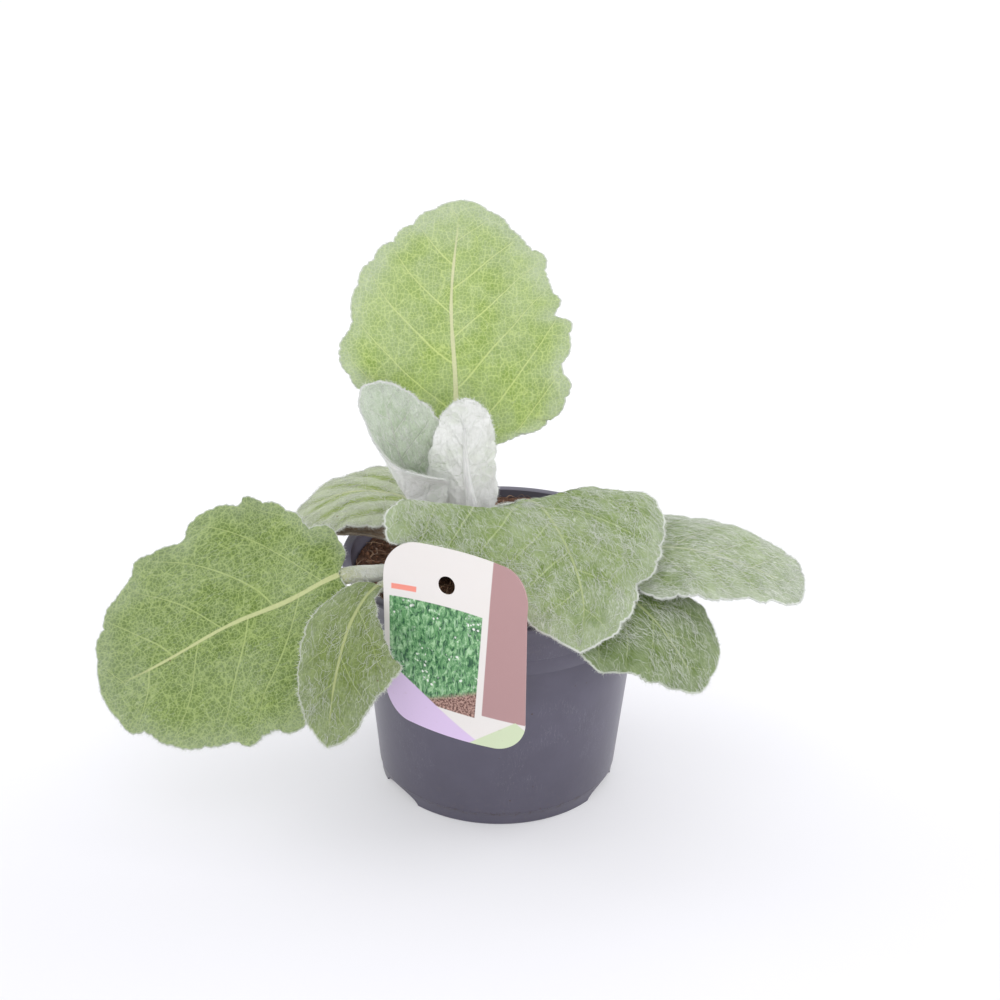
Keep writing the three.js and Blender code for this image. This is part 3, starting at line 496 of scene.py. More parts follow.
class Finish:
    """A material under construction."""

    def __init__(self, name):
        self.material = bpy.data.materials.new(name)
        self.material.use_nodes = True
        self.tree = self.material.node_tree
        self.tree.nodes.clear()
        self.shader = self.node("ShaderNodeBsdfPrincipled")
        output = self.node("ShaderNodeOutputMaterial")
        self.tree.links.new(self.shader.outputs[0], output.inputs[0])

    def node(self, kind, settings=None, inputs=None):
        """A node of that kind with its settings made first and then its sockets filled or linked."""
        node = self.tree.nodes.new(kind)
        for key, setting in (settings or {}).items():
            setattr(node, key, setting)
        self.fill(node, inputs or {})
        return node

    def fill(self, node, inputs):
        for key, value in inputs.items():
            socket = node.inputs[key]
            if isinstance(value, Value):
                self.tree.links.new(value.socket, socket)
            elif isinstance(value, bpy.types.NodeSocket):
                self.tree.links.new(value, socket)
            elif isinstance(value, tuple) and len(value) == 3 and socket.type == "RGBA":
                socket.default_value = (*value, 1.0)
            else:
                socket.default_value = value

    def vector(self, x, y, z=0.0):
        return self.node("ShaderNodeCombineXYZ", None, {0: x, 1: y, 2: z}).outputs[0]

    def parts(self, vector):
        node = self.node("ShaderNodeSeparateXYZ", None, {0: vector})
        return [Value(self, socket) for socket in node.outputs]

    def place(self):
        """Object coordinates in millimetres."""
        coordinates = self.node("ShaderNodeTexCoord").outputs["Object"]
        return self.scaled(coordinates, 1 / MM)

    def scaled(self, vector, factor):
        inputs = {0: vector, "Scale": factor}
        return self.node("ShaderNodeVectorMath", {"operation": "SCALE"}, inputs).outputs[0]

    def moved(self, vector, shift):
        inputs = {0: vector, 1: shift}
        return self.node("ShaderNodeVectorMath", {"operation": "ADD"}, inputs).outputs[0]

    def noise(self, vector, scale, detail=2.0, roughness=0.5):
        inputs = {"Vector": vector, "Scale": scale, "Detail": detail, "Roughness": roughness}
        return Value(self, self.node("ShaderNodeTexNoise", None, inputs).outputs["Fac"])

    def warped(self, vector, scale, amount):
        """The vector pushed about by a noise of that scale."""
        inputs = {"Vector": vector, "Scale": scale, "Detail": 1.0}
        shift = self.node("ShaderNodeTexNoise", None, inputs).outputs["Color"]
        centred = self.moved(shift, (-0.5, -0.5, -0.5))
        return self.moved(vector, self.scaled(centred, amount))

    def cells(self, vector, scale, feature="DISTANCE_TO_EDGE", randomness=1.0):
        """Distance to the nearest edge between cells."""
        inputs = {"Vector": vector, "Scale": scale, "Randomness": randomness}
        node = self.node("ShaderNodeTexVoronoi", {"feature": feature}, inputs)
        return Value(self, node.outputs["Distance"])

    def dots(self, vector, scale):
        """Distance to the nearest of many scattered points."""
        return self.cells(vector, scale, "F1")

    def attribute(self, name):
        return Value(self, self.node("ShaderNodeAttribute", {"attribute_name": name}).outputs["Fac"])

    def mix(self, factor, first, second):
        """A colour between two colours."""
        inputs = {0: factor, 6: first, 7: second}
        return self.node("ShaderNodeMix", {"data_type": "RGBA"}, inputs).outputs[2]

    def layers(self, colour, *layers):
        """The colour under layers of share and colour, one over another."""
        for share, over in layers:
            colour = self.mix(share, colour, over)
        return colour

    def bump(self, height, distance, strength):
        """Relief whose full height is the distance in millimetres."""
        inputs = {"Height": height, "Distance": distance * MM, "Strength": strength}
        self.set(Normal=self.node("ShaderNodeBump", None, inputs).outputs[0])

    def set(self, **inputs):
        self.fill(self.shader, {key.replace("_", " "): value for key, value in inputs.items()})

    def woolly(self, colour, roughness, specular, sheen, sheen_roughness=0.5):
        """A dull face with the white sheen of fine wool."""
        self.set(Base_Color=colour, Roughness=roughness, Specular_IOR_Level=specular,
                 Sheen_Weight=sheen, Sheen_Roughness=sheen_roughness, Sheen_Tint=WHITE)


def deselect():
    if bpy.context.object and bpy.context.object.mode != "OBJECT":
        bpy.ops.object.mode_set(mode="OBJECT")
    bpy.ops.object.select_all(action="DESELECT")


def choose(piece):
    deselect()
    piece.select_set(True)
    bpy.context.view_layer.objects.active = piece


def edit_whole(piece, *steps):
    """Runs mesh tools on all of a piece, each given with its settings."""
    choose(piece)
    bpy.ops.object.mode_set(mode="EDIT")
    for tool, settings in steps:
        bpy.ops.mesh.select_all(action="SELECT")
        tool(**settings)
    bpy.ops.object.mode_set(mode="OBJECT")


def metres(points):
    """Points in millimetres as the flat list of metres that a mesh takes."""
    return np.ascontiguousarray(points * MM, np.float32).ravel()


def reshape(piece, points):
    """Puts a piece's vertices at points in millimetres."""
    piece.data.vertices.foreach_set("co", metres(points))
    piece.data.update()


def point_values(piece, name, values):
    """A number on each vertex that materials can read."""
    made = piece.data.attributes.new(name, "FLOAT", "POINT")
    made.data.foreach_set("value", values.astype(np.float32))


OUTWARD = (bpy.ops.mesh.normals_make_consistent, {"inside": False})


def dress(piece, *materials):
    """A single material replaces any that a cut has left, and more of them keep their faces."""
    if len(materials) == 1:
        piece.data.materials.clear()
    for material in materials:
        piece.data.materials.append(material)


def ring_quads(rings, around):
    """Vertex numbers of closed rings of so many points, and the quads from ring to ring."""
    index = np.arange(rings * around).reshape(-1, around)
    after = np.roll(index, -1, 1)
    return index, np.stack([index[:-1], after[:-1], after[1:], index[1:]], 2)


def apply_modifier(piece, kind, **settings):
    choose(piece)
    modifier = piece.modifiers.new(kind, kind)
    for key, value in settings.items():
        setattr(modifier, key, value)
    bpy.ops.object.modifier_apply(modifier=modifier.name)


def spun(name, profile, sides):
    """A turned body: a disc on the first point, drawn out ring by ring to a disc on the last."""
    deselect()
    radius, height = profile[0]
    bpy.ops.mesh.primitive_circle_add(
        vertices=sides, radius=radius * MM, fill_type="NGON", location=(0, 0, height * MM))
    bpy.ops.object.transform_apply(location=True)
    piece = bpy.context.object
    piece.name = piece.data.name = name
    bpy.ops.object.mode_set(mode="EDIT")
    bpy.ops.mesh.select_mode(type="EDGE")
    bpy.ops.mesh.select_all(action="SELECT")
    for next_radius, next_height in profile[1:]:
        rise = (next_height - height) * MM
        bpy.ops.mesh.extrude_edges_move(TRANSFORM_OT_translate={"value": (0, 0, rise)})
        grow = next_radius / radius
        bpy.ops.transform.resize(value=(grow, grow, 1), center_override=(0, 0, next_height * MM))
        radius, height = next_radius, next_height
    bpy.ops.mesh.edge_face_add()
    bpy.ops.mesh.select_all(action="SELECT")
    bpy.ops.mesh.normals_make_consistent(inside=False)
    bpy.ops.object.mode_set(mode="OBJECT")
    return piece


def smooth(piece, angle=40.0):
    choose(piece)
    bpy.ops.object.shade_smooth_by_angle(angle=math.radians(angle))


def array_piece(name, points, face_sets, slots=None):
    """A smooth mesh object from points in millimetres and arrays of faces."""
    sides = np.concatenate([np.full(len(faces), faces.shape[1]) for faces in face_sets])
    corners = np.concatenate([faces.ravel() for faces in face_sets]).astype(np.int32)
    mesh = bpy.data.meshes.new(name)
    mesh.vertices.add(len(points))
    mesh.vertices.foreach_set("co", metres(points))
    mesh.loops.add(len(corners))
    mesh.loops.foreach_set("vertex_index", corners)
    mesh.polygons.add(len(sides))
    starts = np.concatenate([[0], np.cumsum(sides)[:-1]]).astype(np.int32)
    mesh.polygons.foreach_set("loop_start", starts)
    if slots is not None:
        mesh.polygons.foreach_set("material_index", np.asarray(slots, np.int32))
    mesh.polygons.foreach_set("use_smooth", np.ones(len(sides), bool))
    mesh.update(calc_edges=True)
    piece = bpy.data.objects.new(name, mesh)
    bpy.context.scene.collection.objects.link(piece)
    return piece


def settle(piece, slot, *nodes):
    """The piece rides with the part and stands for its CAD nodes; its slot is not used."""
    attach(piece, "root")
    if nodes:
        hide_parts(*nodes)


# Pot

def lerp(start, end, share):
    return start + (end - start) * share


def wall_radius(z):
    return lerp(BASE_RADIUS, WALL_TOP_RADIUS, z / POT_HEIGHT)


def collar_radius(z):
    share = (z - COLLAR_FOOT_Z) / (POT_HEIGHT - RIM_LIP_HEIGHT - COLLAR_FOOT_Z)
    return lerp(wall_radius(COLLAR_FOOT_Z) + COLLAR_STEP, COLLAR_TOP_RADIUS, share)


def inner_radius(z):
    return (wall_radius(z) if z < COLLAR_FOOT_Z + WALL else collar_radius(z)) - WALL


def pot_profile(line):
    lip = POT_HEIGHT - RIM_LIP_HEIGHT
    foot_inner = BASE_RADIUS - FOOT_WIDTH
    floor_top = CHANNEL_HEIGHT + FLOOR_THICKNESS
    band = FOOT_BAND_HEIGHT
    ring = RING_LINE_Z
    inner_top = collar_radius(POT_HEIGHT) - WALL
    return [
        (12, 0), (CENTRE_PAD_RADIUS - 2.4, 0), (CENTRE_PAD_RADIUS - 1.9, 0.3),
        (CENTRE_PAD_RADIUS - 0.2, CHANNEL_HEIGHT - 0.3), (CENTRE_PAD_RADIUS + 0.2, CHANNEL_HEIGHT),
        (foot_inner - 0.3, CHANNEL_HEIGHT), (foot_inner, CHANNEL_HEIGHT - 0.3),
        (foot_inner + 0.7, 0.4), (foot_inner + 1.1, 0), (BASE_RADIUS - 0.5, 0), (BASE_RADIUS, 0.4),
        (wall_radius(band) - 0.05, band - 0.1), (wall_radius(band) + 0.2, band + 0.2),
        (wall_radius(band) + FOOT_BAND_STEP, band + 0.5), (wall_radius(40) + 0.3, 40),
        (wall_radius(72) + 0.15, 72),
        (wall_radius(ring), ring - 0.9), (wall_radius(ring) - line, ring - 0.3),
        (wall_radius(ring) - line, ring + 0.2), (wall_radius(ring) + 0.15, ring + 0.8),
        (wall_radius(COLLAR_FOOT_Z), COLLAR_FOOT_Z - 0.1),
        (wall_radius(COLLAR_FOOT_Z) + 0.5, COLLAR_FOOT_Z + 0.1),
        (wall_radius(COLLAR_FOOT_Z) + COLLAR_STEP, COLLAR_FOOT_Z + COLLAR_STEP / 2),
        (wall_radius(COLLAR_FOOT_Z) + COLLAR_STEP + 0.2, COLLAR_FOOT_Z + COLLAR_STEP),
        (collar_radius(118), 118), (collar_radius(lip) - 0.1, lip - 0.5),
        (collar_radius(lip) + 0.4, lip), (RIM_RADIUS - 0.7, lip), (RIM_RADIUS - 0.2, lip + 0.2),
        (RIM_RADIUS, lip + 0.7), (RIM_RADIUS, POT_HEIGHT - 0.8), (RIM_RADIUS - 0.2, POT_HEIGHT - 0.3),
        (RIM_RADIUS - 0.7, POT_HEIGHT), (inner_top + 0.6, POT_HEIGHT),
        (inner_top + 0.15, POT_HEIGHT - 0.2), (inner_top, POT_HEIGHT - 0.7),
        (inner_radius(COLLAR_FOOT_Z + WALL), COLLAR_FOOT_Z + WALL),
        (inner_radius(COLLAR_FOOT_Z), COLLAR_FOOT_Z), (inner_radius(floor_top), floor_top),
        (CENTRE_PAD_RADIUS - 2, floor_top), (CENTRE_PAD_RADIUS - 4, FLOOR_THICKNESS),
        (12, FLOOR_THICKNESS),
    ]


def cut_with(piece, cutters):
    """Takes the cutters out of a piece, one after another."""
    for cutter in cutters:
        apply_modifier(piece, "BOOLEAN", operation="DIFFERENCE", object=cutter, solver="EXACT")
        bpy.data.objects.remove(cutter)


def joined(pieces):
    deselect()
    for piece in pieces:
        piece.select_set(True)
    bpy.context.view_layer.objects.active = pieces[0]
    bpy.ops.object.join()
    return bpy.context.object


def drain_cutters():
    """The arched notches of the ring foot and the round holes of the channel, as two cutters."""
    notches, holes = [], []
    for i in range(NOTCH_COUNT):
        angle = math.radians(NOTCH_START_ANGLE) + i * math.tau / NOTCH_COUNT
        deselect()
        bpy.ops.mesh.primitive_cylinder_add(vertices=40, radius=NOTCH_WIDTH / 2 * MM,
                                            depth=NOTCH_CUT_DEPTH * MM, rotation=(math.pi / 2, 0, 0))
        bpy.ops.object.transform_apply(rotation=True)
        notch = bpy.context.object
        flat = NOTCH_HEIGHT / (NOTCH_WIDTH / 2)
        place = Matrix.Rotation(angle, 4, "Z") @ Matrix.Translation((0, BASE_RADIUS * MM, 0))
        notch.data.transform(place @ Matrix.Diagonal((1, 1, flat, 1)))
        notches.append(notch)
    for i in range(DRAIN_HOLE_COUNT):
        turn = i * math.tau / DRAIN_HOLE_COUNT
        reach = (CENTRE_PAD_RADIUS + BASE_RADIUS - FOOT_WIDTH) / 2 * MM
        deselect()
        bpy.ops.mesh.primitive_cylinder_add(vertices=24, radius=DRAIN_HOLE_RADIUS * MM, depth=12 * MM)
        hole = bpy.context.object
        centre = (reach * math.cos(turn), reach * math.sin(turn), CHANNEL_HEIGHT * MM)
        hole.data.transform(Matrix.Translation(centre))
        holes.append(hole)
    return [joined(notches), joined(holes)]


def pot_finish(settings):
    """Slate-grey moulded plastic with fine grain, handling scratches, dust and soil specks, and painted shade
    that darkens the wall towards the foot.
    """
    finish = Finish("pot_plastic")
    place = finish.place()
    x, y, z = finish.parts(place)
    mottle = finish.noise(place, 0.06, 3, 0.6)
    streak = finish.noise(finish.vector(x * 1.6, y * 1.6, z * 0.08), 1.0, 3, 0.6)
    scratch_field = finish.warped(finish.vector(x * 0.9, y * 0.9, z * 0.16), 0.25, 2.5)
    scratch = abs(finish.noise(scratch_field, 0.7, 2) - 0.5).fall(0.0, 0.012)
    scratch = scratch * finish.noise(place, 0.035, 2).step(0.52, 0.66)
    specks = finish.dots(finish.warped(place, 0.3, 1.5), 0.16).fall(0.05, 0.1)
    specks = specks * finish.noise(place, 0.045, 2).step(0.5, 0.62)
    dust = finish.noise(finish.warped(place, 0.2, 2.0), 0.35, 4, 0.65).step(0.5, 0.8)
    low = z.step(0.0, 34.0, 1.0, 0.15)
    under_rim = z.step(100.0, 109.0) * z.step(124.0, 112.0)
    film = (dust * low.greater(under_rim * 0.6) * 0.55).lesser(1.0)
    ring_dirt = finish.noise(finish.warped(place, 0.5, 2.0), 0.5, 4, 0.7).step(0.5, 0.62)
    ring_dirt = ring_dirt * abs(z - FOOT_BAND_HEIGHT).fall(0.2, 2.2)
    wall = tuple(settings.wall_colour)
    lighter = toned(wall, 1.06)
    colour = finish.mix(mottle.step(0.3, 0.7), toned(wall, 0.95), lighter)
    # Painted shade: one layer darkens the wall from 80 mm down towards the foot.
    colour = finish.layers(
        colour, (streak.step(0.55, 0.75) * 0.25, lighter), (scratch * 0.4, linear(150, 148, 160)),
        (film * 0.4, tuple(settings.dust_colour)), (z.step(80.0, 5.0) * 0.4, toned(wall, 0.55)),
        (specks * 0.85, linear(74, 56, 46)), (ring_dirt * 0.7, linear(62, 50, 46)))
    roughness = (0.1 * mottle + 0.14 * scratch + 0.3 * film + settings.gloss - 0.06).lesser(0.95)
    finish.set(Base_Color=colour, Roughness=roughness, IOR=1.5)
    grain = finish.noise(place, 2.4, 2) * 0.25 + finish.noise(place, 0.18, 2) * 0.9
    finish.bump(grain + specks * 0.8 - scratch * 0.3, 0.12, 0.5)
    return finish.material


# Soil and crown

def soil_height(x, y):
    broad = np.sin(x / 13 + 0.8) * np.cos(y / 11 - 0.4)
    fine = np.sin(x / 4.1 + y / 7.3) * np.cos(y / 3.7 - x / 6.1)
    share = np.clip((y - SOIL_BANK_START) / (SOIL_BANK_END - SOIL_BANK_START), 0, 1)
    bank = SOIL_BANK * share**2 * (3 - 2 * share)
    return SOIL_LEVEL + bank + SOIL_RELIEF * (0.7 * broad + 0.5 * fine)


def crumbly(x, y):
    """Small lumps of the soil's surface."""
    lumps = np.sin(x * 1.31 + np.sin(y * 0.9) * 1.7) * np.sin(y * 1.17 + np.sin(x * 1.1) * 1.9)
    grains = np.sin(x * 2.9 + y * 1.3) * np.sin(y * 3.3 - x * 1.7 + np.sin(x * 0.7) * 2)
    return 0.55 * lumps + 0.3 * grains


def soil_profile():
    floor_top = CHANNEL_HEIGHT + FLOOR_THICKNESS + FIT
    collar_foot = COLLAR_FOOT_Z + WALL
    edge = inner_radius(SOIL_LEVEL) - SOIL_PLAY
    shoulder = SOIL_LEVEL - 3
    rings = [
        (12, FLOOR_THICKNESS + FIT), (CENTRE_PAD_RADIUS - 4 - FIT, FLOOR_THICKNESS + FIT),
        (CENTRE_PAD_RADIUS - 2 - FIT, floor_top), (inner_radius(floor_top) - SOIL_PLAY, floor_top),
        (inner_radius(60) - SOIL_PLAY, 60),
        (inner_radius(COLLAR_FOOT_Z) - SOIL_PLAY, COLLAR_FOOT_Z),
        (inner_radius(collar_foot) - SOIL_PLAY, collar_foot + FIT),
        (inner_radius(shoulder) - SOIL_PLAY, shoulder),
    ]
    top = [(edge * (1 - i / SOIL_RINGS), SOIL_LEVEL) for i in range(SOIL_RINGS)]
    return rings + top


def soil_finish(settings):
    """Damp dark soil with paler crumbs and a few mineral grains."""
    finish = Finish("potting_soil")
    place = finish.place()
    broad = finish.noise(place, 0.12, 3, 0.6)
    grain = finish.noise(finish.warped(place, 0.8, 0.8), 0.9, 5, 0.7)
    crumb = finish.dots(finish.warped(place, 0.6, 1.0), 0.75)
    chips = finish.noise(finish.moved(place, (40.0, 7.0, 3.0)), 0.55, 2).step(0.62, 0.7)
    far = finish.parts(place)[1].step(10.0, 60.0)
    soil = tuple(settings.colour)
    colour = finish.mix(grain.step(0.32, 0.66), toned(soil, 0.45), soil)
    colour = finish.layers(
        colour, (broad.step(0.45, 0.75) * 0.5, toned(soil, 1.9)),
        (chips * 0.7, tuple(settings.chip_colour)), (far * 0.4, linear(112, 84, 76)))
    finish.set(Base_Color=colour, Roughness=0.95, Specular_IOR_Level=0.25)
    finish.bump(grain * 1.2 + crumb.fall(0.0, 0.8), 1.1, 0.9)
    return finish.material


def crumb_finish(name, colour, spread):
    """Crumbs and chips, each in its own shade."""
    finish = Finish(name)
    place = finish.place()
    shade = finish.attribute("shade")
    grain = finish.noise(place, 1.6, 3, 0.6)
    mixed = finish.mix((shade * 0.8 + grain * 0.4 - 0.1).lesser(1.0).greater(0.0),
                       toned(colour, 1 - spread), toned(colour, 1 + 1.6 * spread))
    finish.set(Base_Color=mixed, Roughness=0.92, Specular_IOR_Level=0.25)
    finish.bump(grain, 0.4, 0.7)
    return finish.material


def random_turns(random, count):
    """Rotation matrices turned at random."""
    quaternion = random.normal(size=(count, 4))
    quaternion /= np.linalg.norm(quaternion, axis=1, keepdims=True)
    w, x, y, z = quaternion.T
    rows = [
        [1 - 2 * (y * y + z * z), 2 * (x * y - z * w), 2 * (x * z + y * w)],
        [2 * (x * y + z * w), 1 - 2 * (x * x + z * z), 2 * (y * z - x * w)],
        [2 * (x * z - y * w), 2 * (y * z + x * w), 1 - 2 * (x * x + y * y)],
    ]
    return np.array(rows).transpose(2, 0, 1)


def scattered_on_soil(random, count):
    """Places on the soil between the crown and the wall."""
    edge = inner_radius(SOIL_LEVEL) - 1.2
    radius = edge * np.sqrt(random.uniform(0, 1, count))
    angle = random.uniform(0, math.tau, count)
    x, y = radius * np.cos(angle), radius * np.sin(angle)
    clear = np.hypot(x - CROWN_CENTRE[0], y - CROWN_CENTRE[1]) > CROWN_RADIUS + 0.5
    x, y = x[clear], y[clear]
    return x, y, soil_height(x, y) + crumbly(x, y)


def crumbs_piece(random, count):
    """Loose crumbs and bark chips, all grown from one lump."""
    deselect()
    bpy.ops.mesh.primitive_ico_sphere_add(subdivisions=1, radius=1.0)
    lump = bpy.context.object
    corners = np.array([v.co for v in lump.data.vertices])
    faces = np.array([f.vertices for f in lump.data.polygons])
    bpy.data.objects.remove(lump)
    x, y, z = scattered_on_soil(random, count)
    number = len(x)
    size = 0.35 + 1.1 * random.uniform(0, 1, number) ** 2.6
    stretch = random.uniform(0.55, 1.5, (number, 3)) * size[:, None]
    chip = random.uniform(0, 1, number) < 0.12
    stretch[chip] *= np.array([2.2, 1.1, 0.4])
    shape = corners[None] * (1 + 0.28 * random.uniform(-1, 1, (number, len(corners), 1)))
    turned = np.einsum("nij,nkj->nki", random_turns(random, number), shape * stretch[:, None])
    centre = np.stack([x, y, z + 0.25 * size], 1)
    points = turned + centre[:, None]
    limit = inner_radius(SOIL_LEVEL) - 0.4
    away = np.hypot(points[..., 0], points[..., 1])
    shrink = np.minimum(1.0, limit / np.maximum(away, 1e-6))
    points[..., 0] *= shrink
    points[..., 1] *= shrink
    all_faces = faces[None] + (np.arange(number) * len(corners))[:, None, None]
    slots = np.repeat(chip.astype(int), len(faces))
    piece = array_piece("soil_crumbs", points.reshape(-1, 3), [all_faces.reshape(-1, 3)], slots)
    point_values(piece, "shade", np.repeat(random.uniform(0, 1, number), len(corners)))
    piece.data.polygons.foreach_set("use_smooth", np.zeros(len(piece.data.polygons), bool))
    return piece


def tube_points(centres, sides, ups, radii):
    """Rings of three corners round each centre; arrays run over hair, then point."""
    rings = []
    for k in range(3):
        angle = k * math.tau / 3
        ring = centres + (math.cos(angle) * radii)[..., None] * sides
        rings.append(ring + (math.sin(angle) * radii)[..., None] * ups)
    return np.stack(rings, 2)


def hair_faces(number, rings):
    """Triangles of hairs with so many rings of three corners, closed at the root and the tip."""
    faces = []
    for r in range(rings - 1):
        for k in range(3):
            a, b = 3 * r + k, 3 * r + (k + 1) % 3
            faces.append([a, b, b + 3])
            faces.append([a, b + 3, a + 3])
    last = 3 * (rings - 1)
    tip = 3 * rings
    for k in range(3):
        faces.append([last + k, last + (k + 1) % 3, tip])
    faces.append([0, 2, 1])
    faces = np.array(faces)
    return (faces[None] + (np.arange(number) * (tip + 1))[:, None, None]).reshape(-1, 3)


def hairs_from(centres, ups, width):
    """Points and faces of tapering hairs along centres of shape (hair, point, 3)."""
    number, count = centres.shape[:2]
    along = np.gradient(centres, axis=1)
    along /= np.maximum(np.linalg.norm(along, axis=2, keepdims=True), 1e-9)
    sides = np.cross(along, ups)
    sides /= np.maximum(np.linalg.norm(sides, axis=2, keepdims=True), 1e-9)
    ups = np.cross(sides, along)
    taper = np.array([1 - 0.75 * (k / (count - 1)) ** 1.5 for k in range(count - 1)])
    radii = np.asarray(width)[:, None] / 2 * taper[None]
    rings = tube_points(centres[:, :-1], sides[:, :-1], ups[:, :-1], radii)
    body = rings.reshape(number, -1, 3)
    points = np.concatenate([body, centres[:, -1:]], 1)
    return points.reshape(-1, 3), hair_faces(number, count - 1)


def fibres_piece(random, count):
    """Coir fibres and root hairs that lie on the soil."""
    x, y, _ = scattered_on_soil(random, count)
    number = len(x)
    steps = 5
    length = random.uniform(4, 20, number)
    heading = random.uniform(0, math.tau, number)
    bend = random.normal(0, 0.35, (number, steps))
    centres = np.zeros((number, steps, 3))
    limit = inner_radius(SOIL_LEVEL) - 0.8
    for k in range(steps):
        reach = np.hypot(x, y)
        pull = np.minimum(1.0, limit / np.maximum(reach, 1e-6))
        x, y = x * pull, y * pull
        lift = 0.5 + 1.4 * math.sin(math.pi * k / (steps - 1)) * random.uniform(0, 1, number)
        centres[:, k] = np.stack([x, y, soil_height(x, y) + crumbly(x, y) + lift], 1)
        heading = heading + bend[:, k]
        x = x + np.cos(heading) * length / (steps - 1)
        y = y + np.sin(heading) * length / (steps - 1)
    up = np.broadcast_to(np.array([0.0, 0.0, 1.0]), centres.shape)
    points, faces = hairs_from(centres, up, random.uniform(0.25, 0.75, number))
    return array_piece("soil_fibres", points, [faces])


def crown_profile():
    return [
        (4, CROWN_BOTTOM), (CROWN_RADIUS - 3, CROWN_BOTTOM), (CROWN_RADIUS - 1.2, CROWN_BOTTOM + 3),
        (CROWN_RADIUS - 0.6, 112), (CROWN_RADIUS - 0.3, 116), (CROWN_RADIUS - 0.2, 119.5),
        (CROWN_RADIUS - 0.2, 122), (CROWN_RADIUS - 0.4, 124.5), (CROWN_RADIUS - 0.7, 127),
        (CROWN_RADIUS - 1.3, 129.5), (CROWN_RADIUS - 2.2, 132), (CROWN_RADIUS - 3.6, 134),
        (CROWN_RADIUS - 5.5, 135.8), (CROWN_RADIUS - 8, CROWN_TOP - 0.4),
    ]


def crown_finish(settings):
    """Scaly woody crown under a film of wool."""
    finish = Finish("crown_wood")
    place = finish.place()
    x, y, z = finish.parts(place)
    scales = finish.cells(finish.vector(x, y, z * 1.8), 0.3)
    grain = finish.noise(finish.vector(x * 2, y * 2, z * 0.5), 0.8, 3, 0.6)
    film = finish.noise(place, 0.5, 3, 0.6).step(0.4, 0.65)
    wood = tuple(settings.crown_colour)
    colour = finish.mix(grain.step(0.3, 0.7), toned(wood, 0.4), wood)
    colour = finish.mix(film * 0.7, colour, linear(206, 202, 190))
    finish.set(Base_Color=colour, Roughness=0.9, Sheen_Weight=0.3, Sheen_Roughness=0.5)
    finish.bump(scales.step(0.0, 0.25) + grain * 0.4, 0.8, 0.8)
    return finish.material


# Leaves

def curve_through(points):
    """A smooth curve through points, with its length so far and its directions."""
    points = np.asarray(points, float)
    last = len(points) - 1
    ext = np.vstack([2 * points[0] - points[1], points, 2 * points[-1] - points[-2]])
    share = np.linspace(0, 1, CURVE_SAMPLES)
    spot = last * share
    i = np.minimum(np.floor(spot).astype(int), last - 1)
    w = (spot - i)[:, None]
    p0, p1, p2, p3 = ext[i], ext[i + 1], ext[i + 2], ext[i + 3]

    def gap(a, b):
        return (np.maximum(np.sum((a - b) ** 2, 1), 1e-12) ** 0.25)[:, None]

    d0, d1, d2 = gap(p0, p1), gap(p1, p2), gap(p2, p3)
    t1 = ((p1 - p0) / d0 - (p2 - p0) / (d0 + d1) + (p2 - p1) / d1) * d1
    t2 = ((p2 - p1) / d1 - (p3 - p1) / (d1 + d2) + (p3 - p2) / d2) * d1
    place = p1 + t1 * w + (-3 * p1 + 3 * p2 - 2 * t1 - t2) * w**2 + (2 * p1 - 2 * p2 + t1 + t2) * w**3
    length = np.concatenate([[0], np.cumsum(np.linalg.norm(np.diff(place, axis=0), axis=1))])
    heading = np.gradient(place, axis=0)
    heading /= np.linalg.norm(heading, axis=1)[:, None]
    return {"length": length, "place": place, "heading": heading, "share": share}


def along_curve(curve, distance, key):
    distance = np.clip(distance, 0, curve["length"][-1])
    parts = [np.interp(distance, curve["length"], curve[key][:, k]) for k in range(3)]
    return np.stack(parts, -1)


def unit(vectors):
    return vectors / np.maximum(np.linalg.norm(vectors, axis=-1, keepdims=True), 1e-12)


def chance(number):
    """A repeatable random number from 0 to 1 for each whole number."""
    mix = ((number + 0x6D2B79F5) * 0x85EBCA6B) & 0xFFFFFFFF
    mix = ((mix ^ (mix >> 15)) * 0xC2B2AE35) & 0xFFFFFFFF
    return (mix ^ (mix >> 16)) / 4294967296


